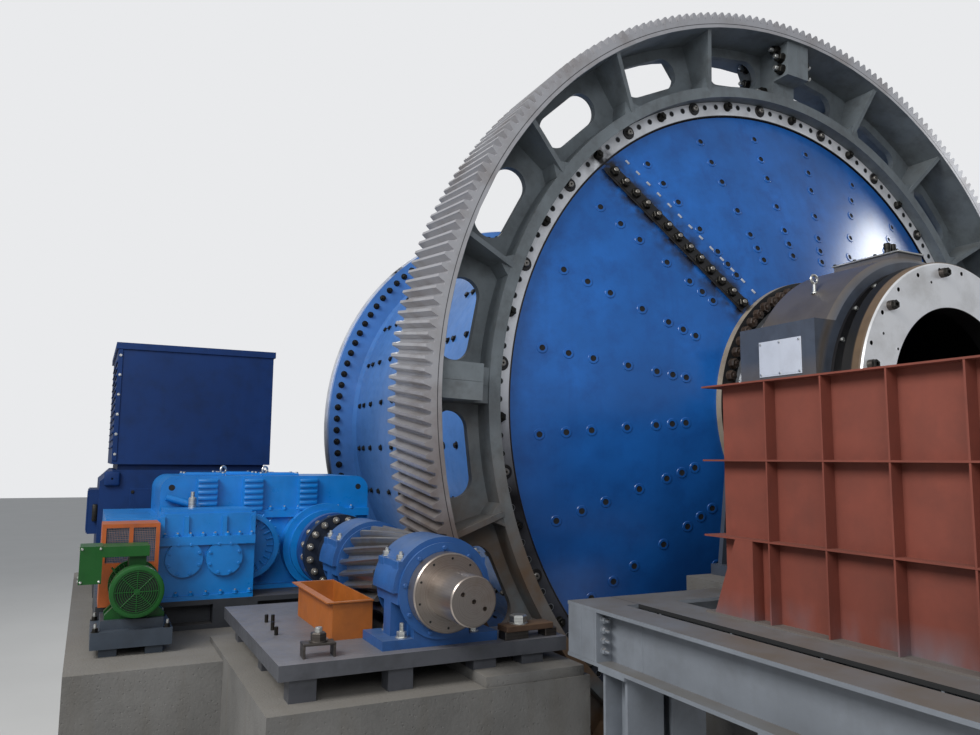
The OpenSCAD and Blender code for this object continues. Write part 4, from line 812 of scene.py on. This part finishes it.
# Bolts of the two coupling discs
discs = {"radius": 0.285, "bolts": 16, "faces": ((2.600, -1), (2.820, -1), (2.680, 1), (2.900, 1))}
discPlaces = [onPinionFace(discs["radius"], 11 + k * 360 / discs["bolts"], y, k * 13, way)
              for k in range(discs["bolts"]) for y, way in discs["faces"]]
couplingBolt = hexNut(0.046, 0.03, 1.1, 0.012, dullSteel)
repeatAt("coupling_bolts", couplingBolt, discPlaces, "pinion_shaft")

# Base plate: the clamps that hold its front edge down, and four studs at its left edge
plateTop = 2.7161
clampParts = [plainBlock(greasySteel, (-0.098, -0.055, 0.070), (0.098, 0.055, 0.084), 0.003),
              hexNut(0.085, 0.055, 1.05, 0.03, greasySteel)]
clampParts[1].matrix_world = Matrix.Translation((0, 0, 0.084))
clampParts += [plainBlock(greasySteel, (x - 0.007, -0.055, -seated), (x + 0.007, 0.055, 0.071), 0.002)
               for x in (-0.090, 0.090)]
clampPlace = upAt(-4.64, 0.375, plateTop, -4)
placed("base_plate_left_clamp", joinAll(clampParts), clampPlace, "root")
clampBar = bevelTop(addBlock((-0.165, -0.065, 0.051), (0.200, 0.065, 0.092), 0.005), 0.002)
clampParts = [plainBlock(greasySteel, (-0.20, -0.05, -seated), (-0.11, 0.05, 0.052), 0.004),
              plainBlock(greasySteel, (0.02, -0.045, -seated), (0.20, 0.045, 0.052), 0.004),
              dress(clampBar, rustyPlate), hexNut(0.100, 0.058, 0.98, 0.0, zincSteel)]
clampParts[3].matrix_world = Matrix.Translation((0.075, 0, 0.092))
clampPlace = upAt(-3.235, 0.322, plateTop, 3)
placed("base_plate_right_clamp", joinAll(clampParts), clampPlace, "root")
studPlaces = [upAt(x, y, plateTop) for x, y in ((-4.721, 1.50), (-4.680, 1.48), (-4.745, 1.05), (-4.735, 1.22))]
studModel = dress(addRound(0.013, -seated, 0.055, 10, 0.003), blackSteel)
repeatAt("base_plate_studs", studModel, studPlaces, "root")
# The concrete stands higher at the right of the plinth, with a broken edge
raised = plainBlock(looks["concrete"], (-3.665, 0.088, 2.470), (-2.935, 0.800, 2.558), 0.016, 2)
finishPiece("plinth_raised_part", raised, "root")
print("stage: pinion and coupling")

# Reducer: ribbed pads, flange and cover bolts, round boss, lids, lifting eyes
reducer = {"left": -5.3382, "front": 3.270, "lowFront": 2.820, "lowLeft": -5.3602, "joint": 3.185, "coverZ": 3.035,
           "coverRadius": 0.128, "top": mill["axis"] - 0.632, "boss": (-4.62, 3.10),
           "lids": ((-4.95, 3.62), (-4.25, 3.62), (-4.60, 4.05))}
ribPlaces = [Matrix.Translation((reducer["left"] + x, reducer["front"] - 0.060, mill["axis"] - 0.935 + k * 0.052))
             for x in (0.394, 0.802, 1.314) for k in range(6)]
ribModel = plainBlock(looks["reducer"], (-0.086, -0.016, -0.017), (0.086, 0.004, 0.017), 0.010, 2)
repeatAt("reducer_pad_ribs", ribModel, ribPlaces, "root")
boltPlaces = [upAt(reducer["lowLeft"] + 0.04 + k * 0.101, reducer["lowFront"] - 0.020, reducer["joint"] + 0.036, k * 9)
              for k in range(8)]
boltPlaces += [upAt(reducer["lowLeft"] + 0.03 + k * 0.12, reducer["lowFront"] - 0.003, mill["axis"] - 1.62)
               for k in range(7)]
boltPlaces += [upAt(-4.50 + k * 0.13, reducer["front"] - 0.03, 3.407) for k in range(8)]
flangeBolt = hexNut(0.036, 0.024, 1.1, 0.01, looks["reducer"])
repeatAt("reducer_flange_bolts", flangeBolt, boltPlaces, "root")
coverPlaces = []
for x in (reducer["lowLeft"] + 0.2, reducer["lowLeft"] + 0.525):
    for k in range(8):
        rim = outward(22.5 + 45 * k) * reducer["coverRadius"]
        coverPlaces.append(frontAt(x + rim.x, reducer["lowFront"] - 0.039, reducer["coverZ"] + rim.z, k * 8))
coverBolt = hexNut(0.022, 0.012, material=looks["reducer"])
repeatAt("reducer_cover_bolts", coverBolt, coverPlaces, "root")
bossX, bossZ = reducer["boss"]
boss = sinkTop(addRound(0.30, 0, 0.22, 48, 0.01), 0.035, 0.014)
boss = dress(raiseTop(raiseTop(boss, 0.04, 0.03), 0.06, -0.012), looks["reducer"])
placed("reducer_round_boss", boss, frontAt(bossX, 3.275, bossZ), "root")
finModel = plainBlock(looks["reducer"], (0.19, -0.008, -0.01), (0.315, 0.008, 0.022), 0.004)
finPlaces = [frontAt(bossX, 3.07, bossZ, -75 + 15 * k) for k in range(11)]
repeatAt("reducer_boss_fins", finModel, finPlaces, "root")
lidModel = steppedBlock(looks["reducer"], (-0.19, -0.15, 0), (0.19, 0.15, 0.022), 0.004, 0.03, 0.008)
lidPlaces = [Matrix.Translation((x, y, reducer["top"])) for x, y in reducer["lids"]]
repeatAt("reducer_lids", lidModel, lidPlaces, "root")
lidBolts = [upAt(x + sx * 0.173, y + sy * 0.133, reducer["top"] + 0.022)
            for x, y in reducer["lids"] for sx in bothSides for sy in bothSides]
repeatAt("reducer_lid_bolts", hexNut(0.024, 0.014, 0, 0, zincSteel), lidBolts, "root")
eyePlaces = [upAt(x, 3.50, reducer["top"], 35) for x in (-4.774, -4.385)]
repeatAt("reducer_lifting_eyes", eyeBolt(0.032, 0.010, zincSteel), eyePlaces, "root")
lugPlaces = [frontAt(x, reducer["front"] + 0.001, mill["axis"] - 0.735) for x in (-5.244, -3.514)]
repeatAt("reducer_lug_holes", boltHole(0.028, 0.012, looks["reducer"]), lugPlaces, "root")
# Breather with its elbow on the low lid
breather = dress(raiseTop(addRound(0.034, 0, 0.09, 16, 0.006), 0.010, 0.05), zincSteel)
placed("reducer_breather", breather, Matrix.Translation((-5.08, 3.12, 3.444)), "root")
pipe = dress(addRound(0.030, 0, 0.30, 16, 0.006), looks["reducer"])
placed("reducer_breather_pipe", pipe, facing((-5.29, 3.22, 3.53), (1, 0, -0.32)), "root")
print("stage: reducer")

# Motor and cooler: edge strips with bolts, lifting lugs, louvres, cover and handle of the terminal box
motor = {"x": -4.8952, "front": 4.820, "half": 0.815, "low": 3.815, "boxDeep": 0.915, "panelZ": 3.16}
edgeX, boxX = motor["x"] - 0.79, motor["x"] - motor["boxDeep"]
strip = steppedBlock(looks["motor"], (-0.022, -0.012, 0), (0.022, 0.0, 1.20), 0.003, 0.006, 0.001)
stripPlace = Matrix.Translation((edgeX, motor["front"] + 0.001, motor["low"] + 0.03))
placed("cooler_edge_strips", strip, stripPlace, "root")
stripBolts = [frontAt(edgeX, motor["front"] - 0.011, motor["low"] + 0.1 + k * 0.21, k * 14) for k in range(6)]
repeatAt("cooler_edge_bolts", hexNut(0.020, 0.012, 1.2, 0, zincSteel), stripBolts, "root")
slatX = motor["x"] - motor["half"] - 0.001
slats = [framed((slatX, y, 4.0 + k * 0.075), (0, 1, 0), (-1, 0, 0.75)) for y in (5.12, 5.84) for k in range(13)]
slatModel = steppedBlock(looks["motor"], (-0.30, -0.03, -0.004), (0.30, 0.02, 0.006), 0.002, 0.004, 0.001)
repeatAt("cooler_louvres", slatModel, slats, "root")
# each lug's hole is shallow, and its floor carries painted shade
lugModel = sinkTop(addBlock((-0.075, -0.075, 0), (0.075, 0.075, 0.05), 0.02, 3), 0.045, 0.02)
markFaces(dress(lugModel, looks["motor"], holeShade), 1, lambda c, n: n.z > 0.9 and c.z < 0.04 and abs(c.x) < 0.03)
lugPlaces = [frontAt(motor["x"] + sx * 0.80, motor["front"] + 0.002, motor["low"] - 0.155) for sx in bothSides]
repeatAt("motor_lifting_lugs", lugModel, lugPlaces, "root")
boxCover = steppedBlock(looks["motor"], (-0.22, -0.34, 0), (0.22, 0.34, 0.012), 0.004, 0.02, 0.004)
coverPlace = framed((boxX - 0.089, 5.37, 3.31), (0, 0, 1), (-1, 0, 0))
placed("terminal_box_cover", boxCover, coverPlace, "root")
panel = steppedBlock(looks["motor"], (-0.62, -0.40, 0), (0.62, 0.40, 0.014), 0.005, 0.03, 0.005)
panelPlace = framed((motor["x"], motor["front"] + 0.001, motor["panelZ"]), (1, 0, 0), (0, -1, 0))
placed("motor_end_panel", panel, panelPlace, "root")
panelBolts = [frontAt(motor["x"] + sx * 0.595, motor["front"] - 0.012, motor["panelZ"] + sz)
              for sx in bothSides for sz in (-0.36, -0.12, 0.12, 0.36)]
repeatAt("motor_panel_bolts", hexNut(0.028, 0.015, 1.1), panelBolts, "root")
handle = dress(sinkTop(addBlock((-0.09, -0.02, 0), (0.09, 0.02, 0.05), 0.012, 2), 0.006, 0.01), blackSteel)
placed("motor_handle", handle, framed((boxX - 0.002, 4.98, 3.30), (0, 0, 1), (-1, 0, 0)), "root")
print("stage: motor")

# Barring motor: cooling fins, fan grille, screws, small lifting eye; clamps on its base
barring = {"x": -5.5552, "z": 2.906, "front": 2.020, "fins": 32, "rings": 9, "spokes": 8}
finPlaces = [framed((barring["x"], 2.28, barring["z"]), (0, 1, 0), outward(360 * (k + 0.5) / barring["fins"]))
             for k in range(barring["fins"])]
finModel = plainBlock(looks["green"], (-0.145, -0.0022, 0.145), (0.155, 0.0022, 0.178), 0.001)
repeatAt("barring_fins", finModel, finPlaces, "root")
grille = [dress(addTorus(0.022 + 0.0155 * k, 0.0028, 36, 6), looks["green"]) for k in range(barring["rings"])]
for k in range(barring["spokes"]):
    spoke = plainBlock(looks["green"], (0.018, -0.003, -0.003), (0.150, 0.003, 0.003), 0.001)
    spoke.matrix_world = Matrix.Rotation(math.radians(k * 360 / barring["spokes"]), 4, "Z")
    grille.append(spoke)
grille.append(dress(raiseTop(addRound(0.020, -0.003, 0.004, 16), 0.008, 0.002), looks["green"]))
# painted shade: the middle of this flat disc is near black, for the dark inside of the fan cowl
well = dress(sinkTop(addRound(0.163, 0, 0.003, 40), 0.012, 0), looks["green"], holeShade)
markFaces(well, 1, lambda c, n: n.z > 0.9 and math.hypot(c.x, c.y) < 0.05)
cowl = dress(sinkTop(addRound(0.187, 0, 0.012, 48, 0.008, 2), 0.022, 0.010), looks["green"])
for name, piece, y in (("barring_fan_grille", joinAll(grille), barring["front"] - 0.006),
                       ("barring_fan_mouth", well, barring["front"] + 0.0005),
                       ("barring_cowl_ring", cowl, barring["front"] + 0.002)):
    placed(name, piece, frontAt(barring["x"], y, barring["z"]), "root")
eyePlace = facing((barring["x"] - 0.13, 2.17, barring["z"] + 0.115), (-0.7, 0, 0.8))
placed("barring_lifting_eye", eyeBolt(0.022, 0.007, looks["green"]), eyePlace, "root")
footPlaces = [upAt(barring["x"] + sx * 0.178, y, barring["z"] - 0.18) for sx in bothSides for y in (2.20, 2.38)]
repeatAt("barring_foot_bolts", hexNut(0.024, 0.016, 1.1, 0.008, zincSteel), footPlaces, "root")
boxScrews = [facing((barring["x"] - 0.39, y, z), (-1, 0, 0)) for y in (2.105, 2.325) for z in (2.99, 3.215)]
boxScrews += [frontAt(barring["x"] - x, 2.08, z) for x in (0.375, 0.255) for z in (2.985, 3.22)]
repeatAt("barring_box_screws", hexNut(0.016, 0.008, 0, 0, zincSteel), boxScrews, "root")
clampPlaces = [upAt(x, y, 2.6301) for x in (-5.815, -5.33) for y in (2.08, 2.56)]
repeatAt("barring_base_bolts", hexNut(0.04, 0.028, 1.2, 0.03), clampPlaces, "root")

# Wire mesh in the two windows of the coupling guard
guardLow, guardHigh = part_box("coupling_guard")
mesh = {"thick": 0.0016, "halfDeep": 0.002, "high": 0.275, "upright": 15, "level": 19, "bevel": 0.0006,
        "y": guardLow.y + 0.0115, "low": guardHigh.z - 0.302, "middle": (guardLow.x + guardHigh.x) / 2}
wires = []


def addWire(low, high, x, z):
    wire = plainBlock(wireSteel, low, high, mesh["bevel"])
    wire.matrix_world = Matrix.Translation((x, mesh["y"], z))
    wires.append(wire)


thick, deep = mesh["thick"], mesh["halfDeep"]
for x0, x1 in ((guardLow.x + 0.025, mesh["middle"] - 0.012), (mesh["middle"] + 0.012, guardHigh.x - 0.012)):
    for k in range(mesh["upright"]):
        across = (x1 - x0) * (k + 0.5) / mesh["upright"]
        addWire((-thick, -deep, 0), (thick, deep, mesh["high"]), x0 + across, mesh["low"])
    for k in range(mesh["level"]):
        rise = mesh["high"] * (k + 0.5) / mesh["level"]
        addWire((0, -deep, -thick), (x1 - x0, deep, thick), x0, mesh["low"] + rise)
finishPiece("guard_mesh", joinAll(wires), "root")
print("stage: barring drive")

# Girders: end bolts, end plates, seams and the anchor nuts of the legs
girder = {"z": 2.82, "boltX": (3.055, 2.925), "legX": (3.08, 2.79, 2.50), "legFoot": 0.0222}
endBolts = [frontAt(sx * x, -0.302, 2.735 + 0.061 * k, 10 * k)
            for sx in bothSides for x in girder["boltX"] for k in range(4)]
endBolt = hexNut(0.036, 0.024, 1.2, 0.035, looks["greyPrimer"], looks["greyPrimer"])
repeatAt("girder_end_bolts", endBolt, endBolts, "root")
plateModel = plainBlock(looks["greyPrimer"], (-0.005, -0.144, -0.149), (0.005, 0.144, 0.149), 0.002)
endPlates = [Matrix.Translation((sx * 3.104, -0.130, girder["z"])) for sx in bothSides]
repeatAt("girder_end_plates", plateModel, endPlates, "root")
seamModel = plainBlock(looks["greyPrimer"], (-0.002, -0.005, -0.147), (0.002, 0.005, 0.147), 0.0015)
seams = [Matrix.Translation((sx * 3.001, -0.611, girder["z"])) for sx in bothSides]
repeatAt("girder_web_seams", seamModel, seams, "root")
low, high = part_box("girder_left")
legAnchors = [upAt(sx * x, y, girder["legFoot"], x * 40) for sx in bothSides for x in girder["legX"]
              for y in (low.y + 0.17, (low.y + high.y) / 2 + 0.005, high.y - 0.17)]
repeatAt("leg_anchor_nuts", hexNut(0.04, 0.03, 1.2, 0.03, zincSteel), legAnchors, "root")
print("stage: girders")


# Camera, light and floor
def standCamera():
    turn, lift, roll = (math.radians(camera[k]) for k in ("turn", "lift", "roll"))
    ahead = Vector((math.sin(turn) * math.cos(lift), math.cos(turn) * math.cos(lift), math.sin(lift)))
    right = Vector((math.cos(turn), -math.sin(turn), 0))
    data = bpy.data.cameras.new("photoCamera")
    data.lens, data.sensor_width, data.sensor_fit = camera["lens"], 36, "HORIZONTAL"
    data.clip_end = 200
    eye = bpy.data.objects.new("photoCamera", data)
    bpy.context.scene.collection.objects.link(eye)
    tilted = right * math.cos(roll) + right.cross(ahead) * math.sin(roll)
    eye.matrix_world = framed(camera["place"], tilted, -ahead)
    bpy.context.scene.camera = eye


def addLamp(name, place, target, size, power, colour):
    data = bpy.data.lights.new(name, "AREA")
    data.shape = "RECTANGLE"
    data.size, data.size_y = size
    data.energy, data.color = power, colour
    lamp = bpy.data.objects.new(name, data)
    bpy.context.scene.collection.objects.link(lamp)
    lamp.matrix_world = facing(place, Vector(place) - Vector(target))


def layFloor():
    deselectAll()
    bpy.ops.mesh.primitive_plane_add(size=160, location=(0, 3, 0))
    floor = bpy.context.object
    floor.name = "floor"
    mat, shader, place = newMaterial("paleStudioFloor")
    patches = addNode(mat, "TexNoise", {"Vector": place, "Scale": 0.6, "Detail": 3, "Roughness": 0.55})
    tone = addNode(mat, "Mix", {0: patches, 6: linearColour("#c6c6c4"), 7: linearColour("#cfcfcd")}, **colourMix)
    setSockets(mat, shader, {"Base Color": tone, "Roughness": 0.9})
    dress(floor, mat)


def lightWorld():
    world = bpy.data.worlds.new("paleStudio")
    bpy.context.scene.world = world
    world.use_nodes = True
    nodes, links = world.node_tree.nodes, world.node_tree.links
    seen, path, mixer = (nodes.new("ShaderNode" + kind) for kind in ("Background", "LightPath", "MixShader"))
    for backdrop, hexText, strength in ((seen, "#e9eaec", 1.0), (nodes["Background"], "#e4e8ee", 0.50)):
        backdrop.inputs["Color"].default_value = linearColour(hexText)
        backdrop.inputs["Strength"].default_value = strength
    links.new(path.outputs["Is Camera Ray"], mixer.inputs["Fac"])
    links.new(nodes["Background"].outputs["Background"], mixer.inputs[1])
    links.new(seen.outputs["Background"], mixer.inputs[2])
    links.new(mixer.outputs["Shader"], nodes["World Output"].inputs["Surface"])


standCamera()
layFloor()
lightWorld()
addLamp("hallLampLeft", (-12.0, -2.0, 11.0), (-1.5, 1.5, 4.0), (6, 5), 1300, (1.0, 0.98, 0.95))
addLamp("hallLampFront", (-9.0, -12.0, 10.0), (-1.0, 0.5, 4.0), (8, 5), 620, (0.98, 0.99, 1.0))
addLamp("hallWindowRight", (13.9, -1.7, 11.6), (1.2, 0.9, 6.2), (2.6, 2.2), 330, (0.97, 0.99, 1.0))
addLamp("hallLampBack", (5.0, 16.0, 12.0), (0, 4.0, 5.0), (8, 6), 1000, (1.0, 0.99, 0.97))
bpy.context.scene.view_settings.view_transform = "Standard"
print("stage: camera and light")
